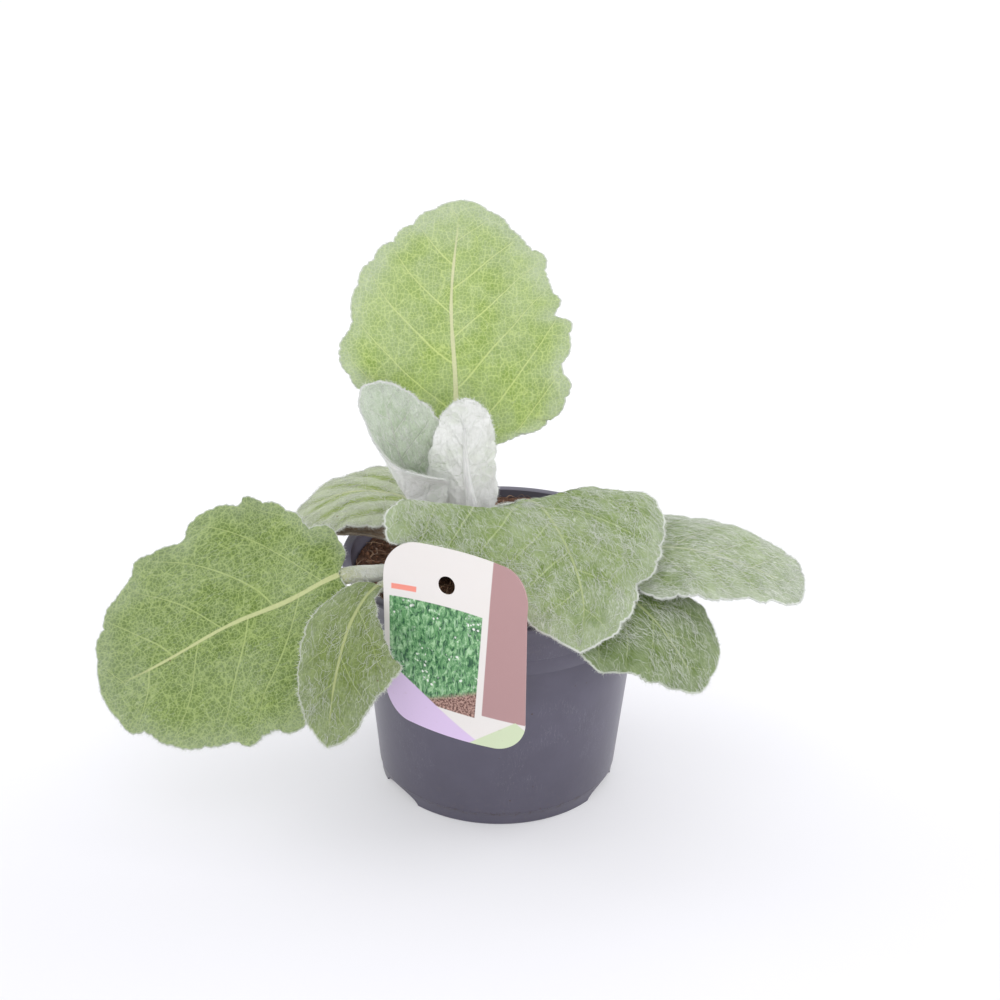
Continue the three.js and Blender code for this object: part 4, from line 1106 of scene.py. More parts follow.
class Leaf:
    """The bent surface of one leaf, sampled on a grid of rows along it and columns across it."""

    def __init__(self, name, cell, thickness, margin_thickness):
        self.name = name
        self.row = LEAVES[name]
        self.look = LOOKS[self.row["look"]]
        self.spine = curve_through(self.row["spine"])
        whole = self.spine["length"][-1]
        node_share = self.row["junction"] / (len(self.row["spine"]) - 1)
        self.stalk = float(np.interp(node_share, self.spine["share"], self.spine["length"]))
        self.length = whole - self.stalk
        flats = [[[a, b, 0] for a, b in self.row[side] + [[self.length, 0]]] for side in ("left", "right")]
        self.outlines = [curve_through(flat) for flat in flats]
        widest = max(p[1] for side in ("left", "right") for p in self.row[side])
        self.rows = int(self.length / cell)
        self.cells = max(6, int(widest / (cell * 1.9)))
        self.sample(thickness, margin_thickness)

    def frame(self, along):
        inside = np.clip(along, -self.stalk, self.length)
        centre = along_curve(self.spine, self.stalk + inside, "place")
        tangent = unit(along_curve(self.spine, self.stalk + inside, "heading"))
        start, end = (np.array(face, float) for face in self.row["face"])
        share = np.clip(along / self.length, 0, 1)[..., None]
        normal = start * (1 - share) + end * share
        normal = unit(normal - tangent * np.sum(normal * tangent, -1, keepdims=True))
        return centre, tangent, normal, np.cross(tangent, normal)

    def blade_frame(self, along):
        centre, tangent, normal, side = self.frame(np.maximum(0, along))
        return centre + tangent * np.minimum(0, along)[..., None], tangent, normal, side

    def margin(self, side, t):
        """The flat margin with its rounded teeth and their small notches."""
        outline = self.outlines[side]
        place = along_curve(outline, t * outline["length"][-1], "place")
        heading = unit(along_curve(outline, t * outline["length"][-1], "heading"))
        phase = np.minimum(self.row["lobes"] * t, self.row["lobes"] - 1e-6)
        base = self.row["seed"] * 64 + side * 32
        size = np.array([0.5 + chance(base + int(p)) for p in phase])
        fine = np.array([0.4 + chance(base * 7 + int(FINE_TEETH * p)) for p in phase])
        fade = np.minimum(1, np.minimum(t * 10, (1 - t) * 8))
        arch = np.abs(np.sin(math.pi * phase)) ** 0.8 - 0.6
        tooth = np.abs(np.sin(FINE_TEETH * math.pi * phase)) ** 0.7 - 0.6
        reach = fade * (self.row["scallop"] * size * arch + FINE_TOOTH_DEPTH * fine * tooth)
        along = place[:, 0] - heading[:, 1] * reach
        return along, np.maximum(0, place[:, 1] + heading[:, 0] * reach)

    def vein_field(self, along, out, side):
        """Distance along the midrib of the side vein through a flat point, in vein gaps."""
        lean = self.look["lean"] * out + self.look["arch"] * out**2
        wobble = 1.4 * np.sin(along * 0.11 + side * 2.1 + self.row["seed"]) * np.sin(out * 0.09)
        return (along - lean + wobble) / self.look["gap"] + 0.5 * side + 0.2

    def sample(self, thickness, margin_thickness):
        t = np.linspace(0, 1, self.rows + 1)
        u = np.linspace(0, 1, self.cells + 1)
        columns = []
        for side in (0, 1):
            margin_along, margin_out = self.margin(side, t)
            spine_along = (self.length - TIP_INSET) * t**VEIN_LEAN
            along = spine_along[:, None] * (1 - u) + margin_along[:, None] * u
            out = margin_out[:, None] * u
            inward = np.hypot(margin_out, margin_along - spine_along)[:, None] * (1 - u)
            columns.append((along, out, self.bent(side, t, u, along, out), inward))
        (left_along, left_out, left, left_in), (right_along, right_out, right, right_in) = columns
        self.along = np.concatenate([left_along[:, :0:-1], right_along], 1)
        self.out = np.concatenate([-left_out[:, :0:-1], right_out], 1)
        self.middle = np.concatenate([left[:, :0:-1], right], 1)
        share = np.abs(np.arange(-self.cells, self.cells + 1)) / self.cells
        self.u = np.broadcast_to(share, self.along.shape)
        self.inward = np.concatenate([left_in[:, :0:-1], right_in], 1)
        lengthwise = np.gradient(self.middle, axis=0)
        crosswise = np.gradient(self.middle, axis=1)
        normal = np.cross(crosswise, lengthwise)
        weak = np.linalg.norm(normal, axis=2) < 1e-4
        normal = unit(normal)
        rib = self.blade_frame(self.along)[2]
        normal[weak] = rib[weak]
        normal[-1] = rib[-1]
        normal[:, self.cells] = unit(normal[:, self.cells] + rib[:, self.cells])
        self.normal = normal
        half = (thickness + (margin_thickness - thickness) * self.u**2)[..., None] / 2
        self.upper = self.middle + normal * half
        self.under = self.middle - normal * half
        self.half = half

    def bent(self, side, t, u, along, out):
        centre, _, normal, across = self.blade_frame(along)
        share = np.clip(along / self.length, 0, 1)
        curl_start, curl_end = self.row["curl"][side]
        curl = (curl_start + (curl_end - curl_start) * share) / 100
        fold = math.radians(self.row["fold"][side]) * (1 - 0.5 * share)
        limit = self.row.get("limit", [99, 99])[side]
        turn = fold + curl * np.minimum(out, limit)
        flat = np.maximum(0, out - limit)
        reach = (np.sin(turn) - np.sin(fold)) / curl + flat * np.cos(turn)
        rise = (np.cos(fold) - np.cos(turn)) / curl + flat * np.sin(turn)
        fade = np.minimum(1, (1 - t) * 6)[:, None]
        wave = np.sin(math.tau * self.row["waves"] * t + self.row["seed"] + 2 * side)[:, None]
        ruffle = self.row["ruffle"] * u**2 * wave
        vein = np.abs(np.sin(math.pi * self.vein_field(along, out, side))) ** 0.8
        pleat = self.row["pleat"] * u * (1.85 - 1.7 * u) * vein
        lumps = np.sin(along * 0.52 + out * 0.33 + self.row["seed"]) * np.sin(out * 0.61 - along * 0.21)
        rise = rise + fade * (ruffle + pleat + 0.28 * lumps * np.minimum(1, u * 3))
        sign = -1 if side == 0 else 1
        return centre + across * (sign * reach)[..., None] + normal * rise[..., None]

    def blade(self):
        """Rounds of points from the upper face over the right margin to the under face and back."""
        columns = 2 * self.cells
        outward_left = unit(self.middle[:, 0] - self.middle[:, 1])
        outward_right = unit(self.middle[:, columns] - self.middle[:, columns - 1])
        bulge = 0.5 * self.half[:, 0, 0].mean()
        right = self.middle[:, columns] + outward_right * bulge
        left = self.middle[:, 0] + outward_left * bulge
        right[-1] = left[-1] = self.middle[-1, columns]
        loops = np.concatenate([self.upper, right[:, None], self.under[:, ::-1], left[:, None]], 1)
        x, y, inward = (
            np.concatenate([grid, grid[:, -1:], grid[:, ::-1], grid[:, :1]], 1).ravel()
            for grid in (self.out, self.along, self.inward))
        around = loops.shape[1]
        index, quads = ring_quads(len(loops), around)
        slot_row = np.full(around, UNDER_FACE)
        slot_row[:columns] = UPPER_FACE
        slot_row[[columns, columns + 1, around - 2, around - 1]] = MARGIN
        slots = np.broadcast_to(slot_row, quads.shape[:2]).ravel()
        upper = index[0, : columns + 1]
        under = index[0, columns + 2 : 2 * columns + 3][::-1]
        cap = np.stack([upper[1:], upper[:-1], under[:-1], under[1:]], 1)
        ends = [[upper[0], index[0, -1], under[0]], [upper[-1], under[-1], index[0, columns + 1]]]
        return {
            "points": loops.reshape(-1, 3), "x": x, "y": y, "inward": inward,
            "quads": [quads.reshape(-1, 4), cap], "tris": np.array(ends),
            "slots": np.concatenate([slots, np.full(len(cap), UNDER_FACE), [MARGIN, MARGIN]]),
        }

    def petiole(self, share):
        """Width and height of the petiole at a share of its length."""
        width_start, height_start, width_join, height_join = self.row["petiole"]
        return lerp(width_start, width_join, share), lerp(height_start, height_join, share)

    def stalk_rings(self):
        """The petiole and the raised midrib under the blade, as rings."""
        reach = self.stalk + self.length * RIB_REACH
        at = np.linspace(0, reach, int(reach / STALK_RING_STEP))
        stalk_share = np.clip(at / self.stalk, 0, 1)
        rib_share = np.clip((at - self.stalk) / (reach - self.stalk), 0, 1)
        felt = 1 + STALK_FELT * (1 - rib_share)
        width, height = self.petiole(stalk_share)
        width = felt * lerp(width, RIB_TIP_WIDTH, rib_share**0.8)
        height = lerp(height, RIB_TIP_HEIGHT, rib_share**0.8)
        centre, _, normal, across = self.frame(at - self.stalk)
        centre = centre - normal * (STALK_SINK * height * stalk_share)[:, None]
        angle = -np.arange(STALK_SIDES) * math.tau / STALK_SIDES
        ripple = 1 + 0.05 * np.sin(3 * angle[None] + at[:, None] * 0.25)
        groove = 1 - 0.3 * np.exp(-(((angle + math.tau * 0.75) / 0.5) ** 2))[None] * (1 - rib_share)[:, None]
        wide = np.cos(angle)[None] * width[:, None] / 2 * ripple
        high = np.sin(angle)[None] * height[:, None] / 2 * ripple * groove
        points = centre[:, None] + across[:, None] * wide[..., None] + normal[:, None] * high[..., None]
        flat_x = np.broadcast_to(np.abs(angle + math.pi) * 2.2 + 40, high.shape)
        flat_y = np.broadcast_to((at - self.stalk)[:, None], high.shape)
        index, quads = ring_quads(len(points), STALK_SIDES)
        hub = np.ones(STALK_SIDES - 2, int)
        first = np.stack([hub * index[0, 0], index[0, 2:], index[0, 1:-1]], 1)
        last = np.stack([hub * index[-1, 0], index[-1, 1:-1], index[-1, 2:]], 1)
        top = np.broadcast_to((1 + np.sin(angle)) / 2, high.shape)
        return {"points": points.reshape(-1, 3), "x": flat_x.ravel(), "y": flat_y.ravel(),
                "top": top.ravel(), "quads": quads.reshape(-1, 4),
                "tris": np.concatenate([first, last])}

    def piece(self):
        blade, stalk = self.blade(), self.stalk_rings()
        shift = len(blade["points"])
        faces = blade["quads"] + [blade["tris"], stalk["quads"] + shift, stalk["tris"] + shift]
        stalk_slots = np.full(len(stalk["quads"]) + len(stalk["tris"]), STALK)
        slots = np.concatenate([blade["slots"], stalk_slots])
        points = np.concatenate([blade["points"], stalk["points"]])
        made = array_piece(self.name + "_blade", points, faces, slots)
        x = np.concatenate([blade["x"], stalk["x"]])
        y = np.concatenate([blade["y"], stalk["y"]])
        corners = np.empty(len(made.data.loops), np.int32)
        made.data.loops.foreach_get("vertex_index", corners)
        flat = np.stack([0.5 + x / SHEET, (y + STALK_ROOM) / SHEET], 1)[corners]
        layer = made.data.uv_layers.new(name="flat")
        layer.data.foreach_set("uv", np.ascontiguousarray(flat, np.float32).ravel())
        point_values(made, "inward", np.concatenate([blade["inward"], stalk["top"]]))
        edit_whole(made, (bpy.ops.mesh.remove_doubles, {"threshold": MERGE_DISTANCE * MM}))
        return made

    # Wool

    def spot(self, grid, rows, columns):
        """Values of a grid at fractional rows and columns."""
        i = np.clip(np.floor(rows).astype(int), 0, grid.shape[0] - 2)
        j = np.clip(np.floor(columns).astype(int), 0, grid.shape[1] - 2)
        a, b = rows - i, columns - j
        if grid.ndim == 3:
            a, b = a[..., None], b[..., None]
        low = grid[i, j] * (1 - b) + grid[i, j + 1] * b
        high = grid[i + 1, j] * (1 - b) + grid[i + 1, j + 1] * b
        return low * (1 - a) + high * a

    def area_weights(self):
        lengthwise = np.linalg.norm(np.gradient(self.middle, axis=0), axis=2)
        crosswise = np.linalg.norm(np.gradient(self.middle, axis=1), axis=2)
        return lengthwise * crosswise

    def area(self):
        return float(self.area_weights().sum()) / 100

    def lying_hairs(self, random, number, length, width, spread, upper, steps=8):
        """Long wavy hairs in loose clumps that lie on a face, mostly along the leaf."""
        weights = self.area_weights().ravel()
        clumps = max(1, number // HAIRS_IN_CLUMP)
        picked = random.choice(len(weights), clumps, p=weights / weights.sum())
        lean = random.normal(0, spread, clumps)
        member = random.integers(0, clumps, number)
        wide = self.along.shape[1]
        rows = picked[member] // wide + random.normal(0, 3.0, number)
        columns = picked[member] % wide + random.normal(0, 1.6, number)
        top_row, top_column = self.along.shape[0] - 1.5, wide - 1.0
        grids = [np.gradient(grid, axis=axis) for grid in (self.out, self.along) for axis in (0, 1)]
        heading = math.pi / 2 + lean[member] + random.normal(0, 0.35, number)
        wave = random.normal(0.6, 0.25, number)
        phase = random.uniform(0, math.tau, number)
        drift = random.normal(0, 0.09, number)
        reach = length * random.uniform(0.45, 1.35, number)
        sign = 1 if upper else -1
        surface = self.upper if upper else self.under
        centres = np.zeros((number, steps, 3))
        ups = np.zeros((number, steps, 3))
        lift_top = random.uniform(0.05, 0.9, number)
        for k in range(steps):
            rows = np.clip(rows, 0.5, top_row)
            columns = np.clip(columns, 0, top_column)
            base = self.spot(surface, rows, columns)
            up = unit(self.spot(self.normal, rows, columns)) * sign
            lift = 0.08 + lift_top * math.sin(math.pi * k / (steps - 1))
            centres[:, k] = base + up * lift[:, None]
            ups[:, k] = up
            turn = heading + wave * np.sin(phase + 1.3 * k) + drift * k
            step_x = np.cos(turn) * reach / (steps - 1)
            step_y = np.sin(turn) * reach / (steps - 1)
            xi, xj, yi, yj = (self.spot(grid, rows, columns) for grid in grids)
            size = xi * yj - xj * yi
            size = np.where(np.abs(size) < 0.05, 0.05 * np.where(size < 0, -1, 1), size)
            rows = rows + np.clip((yj * step_x - xj * step_y) / size, -4, 4)
            columns = columns + np.clip((xi * step_y - yi * step_x) / size, -4, 4)
        return hairs_from(centres, ups, width * random.uniform(0.7, 1.2, number))

    def margin_hairs(self, random, number, length, width, steps=4):
        """Short fuzz that stands out from the margin."""
        side = random.integers(0, 2, number)
        rows = random.uniform(0.01, 0.995, number) * (self.along.shape[0] - 1)
        last = self.along.shape[1] - 1
        columns = np.where(side == 0, 0.0, last * 1.0)
        inner = np.where(side == 0, 1.0, last - 1.0)
        start = self.spot(self.middle, rows, columns)
        outward = unit(start - self.spot(self.middle, rows, inner))
        normal = unit(self.spot(self.normal, rows, columns))
        lengthwise = unit(np.cross(normal, outward))
        swing = random.normal(0, 0.75, number)[:, None]
        rise = random.normal(0.1, 0.45, number)[:, None]
        heading = unit(outward + lengthwise * swing + normal * rise)
        hook = unit(lengthwise * random.normal(0, 1, (number, 1)) + normal * random.normal(0, 1, (number, 1)))
        reach = (length * random.uniform(0.4, 1.3, number))[:, None]
        start = start + normal * random.uniform(-0.3, 0.45, number)[:, None] - outward * 0.3
        centres = np.stack(
            [start + heading * reach * s + hook * reach * 0.45 * s**2 for s in np.linspace(0, 1, steps)], 1)
        ups = np.broadcast_to(normal[:, None], centres.shape)
        return hairs_from(centres, ups, width * random.uniform(0.6, 1.2, number))

    def stalk_hairs(self, random, number, length, width, steps=5):
        """Cobwebby hairs round the petiole."""
        at = random.uniform(0.1, 1.0, number) * self.stalk
        share = at / self.stalk
        wide, high = (size / 2 for size in self.petiole(share))
        turn = random.uniform(0, math.tau, number)
        centres = np.zeros((number, steps, 3))
        ups = np.zeros((number, steps, 3))
        twist = random.normal(0, 0.9, number)
        reach = length * random.uniform(0.4, 1.2, number)
        for k in range(steps):
            centre, _, normal, across = self.frame(at - self.stalk)
            centre = centre - normal * (STALK_SINK * 2 * high * share)[:, None]
            around = across * np.cos(turn)[:, None] * (wide + 0.3 + 0.3 * (k % 2))[:, None]
            over = normal * np.sin(turn)[:, None] * (high + 0.3 + 0.3 * (k % 2))[:, None]
            centres[:, k] = centre + around + over
            ups[:, k] = unit(around + over)
            at = np.clip(at + reach / (steps - 1), 0, self.stalk + 2)
            turn = turn + twist / (steps - 1) * 2
        return hairs_from(centres, ups, width * random.uniform(0.6, 1.2, number))


def flat_sheet(finish):
    """Flat leaf coordinates in millimetres: out from the midrib, and along it."""
    sheet = finish.node("ShaderNodeUVMap", {"uv_map": "flat"}).outputs[0]
    u, v, _ = finish.parts(sheet)
    return (u - 0.5) * SHEET, v * SHEET - STALK_ROOM


def curly_lines(finish, x, y, across, along, warp, width, shift):
    """Long curly hairs painted as the level lines of a drawn-out noise."""
    stretched = finish.vector(x * across + shift, y * along - shift * 0.7, shift)
    bent = finish.warped(stretched, 0.55, warp)
    return abs(finish.noise(bent, 1.0, 1.5) - 0.5).fall(width * 0.35, width)


def side_veins(leaf, x, y):
    """Millimetres to the nearest side vein, and the share of the raised band between two."""
    look = leaf.look
    out = abs(x)
    right = x.above(0.0)
    wobble = (y * 0.11 + right * 2.1 + leaf.row["seed"]).sine() * (out * 0.09).sine() * 1.4
    rise = out * look["lean"] + out * out * look["arch"]
    field = (y - rise + wobble) / look["gap"] + right * 0.5 + 0.2
    near = 0.5 - abs(field.fraction() - 0.5)
    slope = out * (2 * look["arch"]) + look["lean"]
    return near * look["gap"] / (slope * slope + 1.0) ** 0.5, (near * 2.0).step(0.1, 0.75)


def leaf_upper_finish(name, leaf, settings):
    """Quilted green upper face: midrib, side veins, net of small veins, wool film and strands."""
    look = leaf.look
    finish = Finish(name)
    x, y = flat_sheet(finish)
    inward = finish.attribute("inward")
    sheet = finish.vector(x, y, float(leaf.row["seed"]))
    out = abs(x)
    wander = finish.noise(sheet, 0.07, 2) - 0.5
    way, band = side_veins(leaf, x, y)

    tip_share = (y / leaf.length).greater(0.0).lesser(1.0)
    rib_half = (1 - tip_share * 0.75) * (look["rib"] / 2)
    rib = (out + wander * 0.8 - rib_half).fall(-0.3, 0.3) * tip_share.step(0.95, 0.75)
    side_half = inward.step(2.0, 45.0, 0.16, 0.42)
    side = (way + wander * 0.3 - side_half).fall(-0.15, 0.3) * inward.step(2.0, 8.0)

    coarse = finish.cells(finish.warped(sheet, 0.22, 2.4), 0.13)
    fine = finish.cells(finish.warped(sheet, 0.5, 0.8), 0.48, randomness=0.8)
    net = coarse.fall(0.01, 0.045) * 0.6 + fine.fall(0.03, 0.12) * 0.7
    net = net.lesser(1.0) * look["net"]

    patches = finish.noise(sheet, 0.04, 3, 0.55).step(0.32, 0.68)
    fuzz = finish.noise(finish.warped(sheet, 1.2, 0.8), 1.9, 2, 0.7)
    far = (y / leaf.length).step(0.55, 1.0) * 0.3
    streaks = finish.noise(finish.warped(finish.vector(x * 0.5, y * 0.12, 6.0), 0.5, 1.2), 0.8, 3, 0.6)
    plain = 1.0 - 0.8 * look["ridge"]
    film = patches * (0.45 * plain) + inward.step(15.0, 0.0) * 0.7 + far + band * look["ridge"]
    film = film + streaks.step(0.48, 0.66) * (0.7 * look["strand"])
    film = film.lesser(1.0) * look["haze"]
    strands = curly_lines(finish, x, y, 0.62, 0.11, 2.2, 0.022, 3.0)
    crossing = curly_lines(finish, x + y * 0.35, y - x * 0.2, 0.8, 0.15, 1.8, 0.02, 11.0)
    strands = strands.greater(crossing * 0.8)
    strands = strands * finish.noise(sheet, 0.05, 2).step(0.3, 0.6, 0.3, 1.0) * look["strand"]
    ragged = (inward + (fuzz - 0.5) * 1.4).step(look["belt"], look["belt"] * 0.4)
    specks = finish.dots(finish.warped(sheet, 0.9, 0.6), 0.085).fall(0.03, 0.055)
    specks = specks * finish.noise(sheet, 0.05, 1).step(0.54, 0.6)

    dark, light, veins = (linear(*look[key]) for key in ("dark", "light", "veins"))
    cell = (coarse.step(0.0, 0.42) * 0.5 + fine.step(0.0, 0.4) * 0.5).lesser(1.0)
    tone = finish.noise(sheet, 0.03, 2).step(0.3, 0.7)
    mottle = finish.noise(sheet, 0.16, 3, 0.6).step(0.35, 0.65)
    colour = finish.mix((tone * 0.4 + mottle * 0.3 + (1 - cell) * 0.3).lesser(1.0), dark, light)
    colour = finish.layers(
        colour, (net * 0.62, veins), (side * 0.75, veins),
        (film * (fuzz.step(0.3, 0.7) * 0.4 + 0.45), linear(*look["film"])),
        (strands * 0.8, tuple(settings.wool_colour)), (rib * 0.85, linear(*look["midrib"])),
        (ragged * 0.85, linear(*look["edge"])), (specks * 0.75, linear(104, 78, 56)))
    finish.woolly(colour, 0.82, 0.25, 0.02 + 0.14 * look["haze"], 0.45)
    height = coarse.step(0.0, 0.45) * 0.8 + fine.step(0.0, 0.4) * 0.45 - side * 0.7 + fuzz * 0.16
    height = height * (1.0 - 0.55 * look["haze"]) + strands * 0.35 + fuzz * 0.12 + rib * 0.5
    finish.bump(height, 0.6, 0.85)
    return finish.material


def leaf_under_finish(name, leaf, settings):
    """White felt with raised veins, faint green between them and a few small creases."""
    look = leaf.look
    finish = Finish(name)
    x, y = flat_sheet(finish)
    sheet = finish.vector(x, y, float(leaf.row["seed"]) + 50.0)
    way, _ = side_veins(leaf, x, y)
    inward = finish.attribute("inward")
    side = (way - inward.step(2.0, 45.0, 0.0, 0.5)).fall(0.1, 1.1) * inward.step(2.0, 12.0)
    net = finish.cells(finish.warped(sheet, 0.22, 2.4), 0.17).fall(0.02, 0.16)
    felt = finish.noise(finish.warped(sheet, 0.9, 1.6), 1.3, 4, 0.7)
    strands = curly_lines(finish, x, y, 0.7, 0.14, 2.4, 0.035, 5.0)
    folds = finish.warped(finish.vector(x * 0.5, y * 1.6, 8.0), 0.4, 1.4)
    crease = abs(finish.noise(folds, 0.16, 2) - 0.5).fall(0.0, 0.012)
    crease = crease * finish.noise(sheet, 0.07, 2).step(0.52, 0.6)
    under, green = linear(*look["under"]), linear(*look["light"])
    thin = finish.noise(sheet, 0.06, 2).step(0.42, 0.7) * (1 - net * 0.6)
    wool = felt.step(0.35, 0.7) * 0.3 + strands * 0.3 + side * 0.22 + net * 0.08
    colour = finish.layers(
        under, (thin * 0.4, green), (wool.lesser(1.0), tuple(settings.wool_colour)),
        (felt.step(0.45, 0.25) * 0.16, toned(under, 0.7)), (crease * 0.5, toned(green, 0.75)))
    finish.woolly(colour, 0.9, 0.2, 0.15)
    finish.bump(side * 0.9 + net * 0.4 + felt * 0.5 + strands * 0.35 - crease * 0.5, 0.6, 0.7)
    return finish.material


def leaf_margin_finish(name, leaf):
    """Thick pale fuzz of the margin."""
    finish = Finish(name)
    sheet = finish.vector(*flat_sheet(finish), 9.0)
    fuzz = finish.noise(finish.warped(sheet, 1.1, 1.0), 1.6, 3, 0.7)
    share = (fuzz.step(0.3, 0.7) * 0.6 + finish.noise(sheet, 0.11, 2) * 0.4).lesser(1.0)
    edge = linear(*leaf.look["edge"])
    finish.woolly(finish.mix(share, toned(edge, 0.75), edge), 0.9, 0.2, 0.15)
    finish.bump(fuzz, 0.5, 0.8)
    return finish.material


def stalk_finish(name, leaf, settings):
    """Stalk in its midrib's colour, woolly on top and towards the crown, brownish below there."""
    look = leaf.look
    finish = Finish(name)
    x, y = flat_sheet(finish)
    top = finish.attribute("inward")
    streak = finish.noise(finish.vector(x * 0.8, y * 0.06, 2.0), 1.0, 3, 0.6)
    web = curly_lines(finish, x, y, 0.6, 0.14, 2.0, 0.05, 7.0)
    fuzz = finish.noise(finish.vector(x, y, 4.0), 1.1, 3, 0.7)
    stalk = linear(*look["midrib"])
    back = y / -leaf.stalk
    brown = back.step(0.0, 0.8) * top.step(0.45, 0.1) * 0.6
    wool = back.step(-0.05, 0.3) * top.step(0.15, 0.6) * 0.8
    wool = wool + web * 0.35 + fuzz.step(0.45, 0.75) * 0.35
    felt = linear(*look["edge"]) if leaf.row["look"] == "dry" else tuple(settings.wool_colour)
    colour = finish.mix(streak.step(0.3, 0.7), toned(stalk, 0.75), stalk)
    colour = finish.layers(colour, (brown, tuple(settings.foot_colour)), (wool.lesser(0.9), felt))
    finish.woolly(colour, 0.88, 0.25, 0.12)
    finish.bump(streak * 0.6 + web * 0.4 + fuzz * 0.4, 0.5, 0.8)
    return finish.material


def hair_finish(name, colour):
    """Silvery hair: one plain colour with a soft sheen."""
    finish = Finish(name)
    finish.woolly(colour, 0.6, 0.3, 0.3, 0.4)
    return finish.material


# Label

def label_axes():
    out = np.array([math.cos(LABEL_FACING), math.sin(LABEL_FACING), 0.0])
    return out, np.array([-out[1], out[0], 0.0])


def card_depth(across, up):
    bow = lerp(LABEL_BOW_LOW, LABEL_BOW_HIGH, np.clip(up / (LABEL_HEIGHT * 0.8), 0, 1))
    bow_at_rim = lerp(LABEL_BOW_LOW, LABEL_BOW_HIGH, (POT_HEIGHT - LABEL_BOTTOM) / (LABEL_HEIGHT * 0.8))
    at_rim = RIM_RADIUS + FIT + LABEL_THICKNESS + bow_at_rim * LABEL_SHIFT**2
    return at_rim - bow * (across - LABEL_SHIFT) ** 2 - LABEL_TILT * (LABEL_BOTTOM + up - POT_HEIGHT)


def card_point(across, up, depth=0.0):
    out, along = label_axes()
    place = (card_depth(across, up) + depth)[..., None] * out + across[..., None] * along
    place[..., 2] = LABEL_BOTTOM + up
    return place


def card_piece():
    """The bent card with round corners and its hang hole."""
    rows, columns = 72, 44
    deselect()
    bpy.ops.mesh.primitive_grid_add(x_subdivisions=columns, y_subdivisions=rows, size=2)
    card = bpy.context.object
    card.name = card.data.name = "label_card"
    flat = np.array([v.co for v in card.data.vertices])
    up = LABEL_HEIGHT * (1 - np.cos(math.pi * (flat[:, 1] + 1) / 2)) / 2
    bite = np.maximum(0, LABEL_CORNER - np.minimum(up, LABEL_HEIGHT - up))
    inset = LABEL_CORNER - np.sqrt(np.maximum(0, LABEL_CORNER**2 - bite**2))
    across = LABEL_SHIFT + (LABEL_WIDTH / 2 - inset) * flat[:, 0]
    reshape(card, card_point(across, up))
    edit_whole(card, OUTWARD)
    out, _ = label_axes()
    middle = card.data.polygons[len(card.data.polygons) // 2].normal
    if middle.dot(Vector(out)) < 0:
        card.data.flip_normals()
    apply_modifier(card, "SOLIDIFY", thickness=LABEL_THICKNESS * MM, offset=-1.0)
    deselect()
    bpy.ops.mesh.primitive_cylinder_add(vertices=40, radius=LABEL_HOLE_RADIUS * MM, depth=30 * MM,
                                        rotation=(0, math.pi / 2, LABEL_FACING))
    hole = bpy.context.object
    bpy.ops.object.transform_apply(rotation=True)
    hole_across, hole_up = LABEL_SHIFT + LABEL_HOLE_OFFSET, LABEL_HEIGHT - LABEL_HOLE_FROM_TOP
    centre = card_point(np.array(hole_across), np.array(hole_up))
    hole.data.transform(Matrix.Translation(Vector(centre * MM)))
    cut_with(card, [hole])
    return card


def hook_piece():
    """The strip on the card's back that passes over the rim and down inside the pot."""
    inside = collar_radius(POT_HEIGHT - HOOK_DROP) - WALL - 3 * FIT
    over = POT_HEIGHT + FIT
    top = over + HOOK_LAP

    def middle(z):
        edge = min(float(card_depth(side * HOOK_WIDTH / 2, z - LABEL_BOTTOM)) for side in (-1, 1))
        return edge - 0.7 * LABEL_THICKNESS

    outline = [
        (middle(over), over), (middle(top), top), (middle(top) - HOOK_LAP_THICKNESS, top),
        (middle(over) - 2 * HOOK_LAP_THICKNESS, over + HOOK_THICKNESS),
        (inside - HOOK_THICKNESS, over + HOOK_THICKNESS),
        (inside - HOOK_THICKNESS, POT_HEIGHT - HOOK_DROP), (inside, POT_HEIGHT - HOOK_DROP),
        (inside, over),
    ]
    deselect()
    bpy.ops.mesh.primitive_circle_add(vertices=len(outline), radius=1, fill_type="NGON")
    hook = bpy.context.object
    hook.name = hook.data.name = "label_hook"
    out, along = label_axes()
    for vertex, (reach, z) in zip(hook.data.vertices, outline):
        vertex.co = Vector(out * reach - along * HOOK_WIDTH / 2) * MM + Vector((0, 0, z * MM))
    shift = {"value": tuple(along * HOOK_WIDTH * MM)}
    edit_whole(hook, (bpy.ops.mesh.extrude_region_move, {"TRANSFORM_OT_translate": shift}), OUTWARD)
    apply_modifier(hook, "BEVEL", width=0.25 * MM, segments=2, limit_method="ANGLE")
    return hook


def inside_box(x, y, left, right, low, high, soft=0.25):
    across = x.step(left - soft, left + soft) * x.step(right + soft, right - soft)
    return across * y.step(low - soft, low + soft) * y.step(high + soft, high - soft)


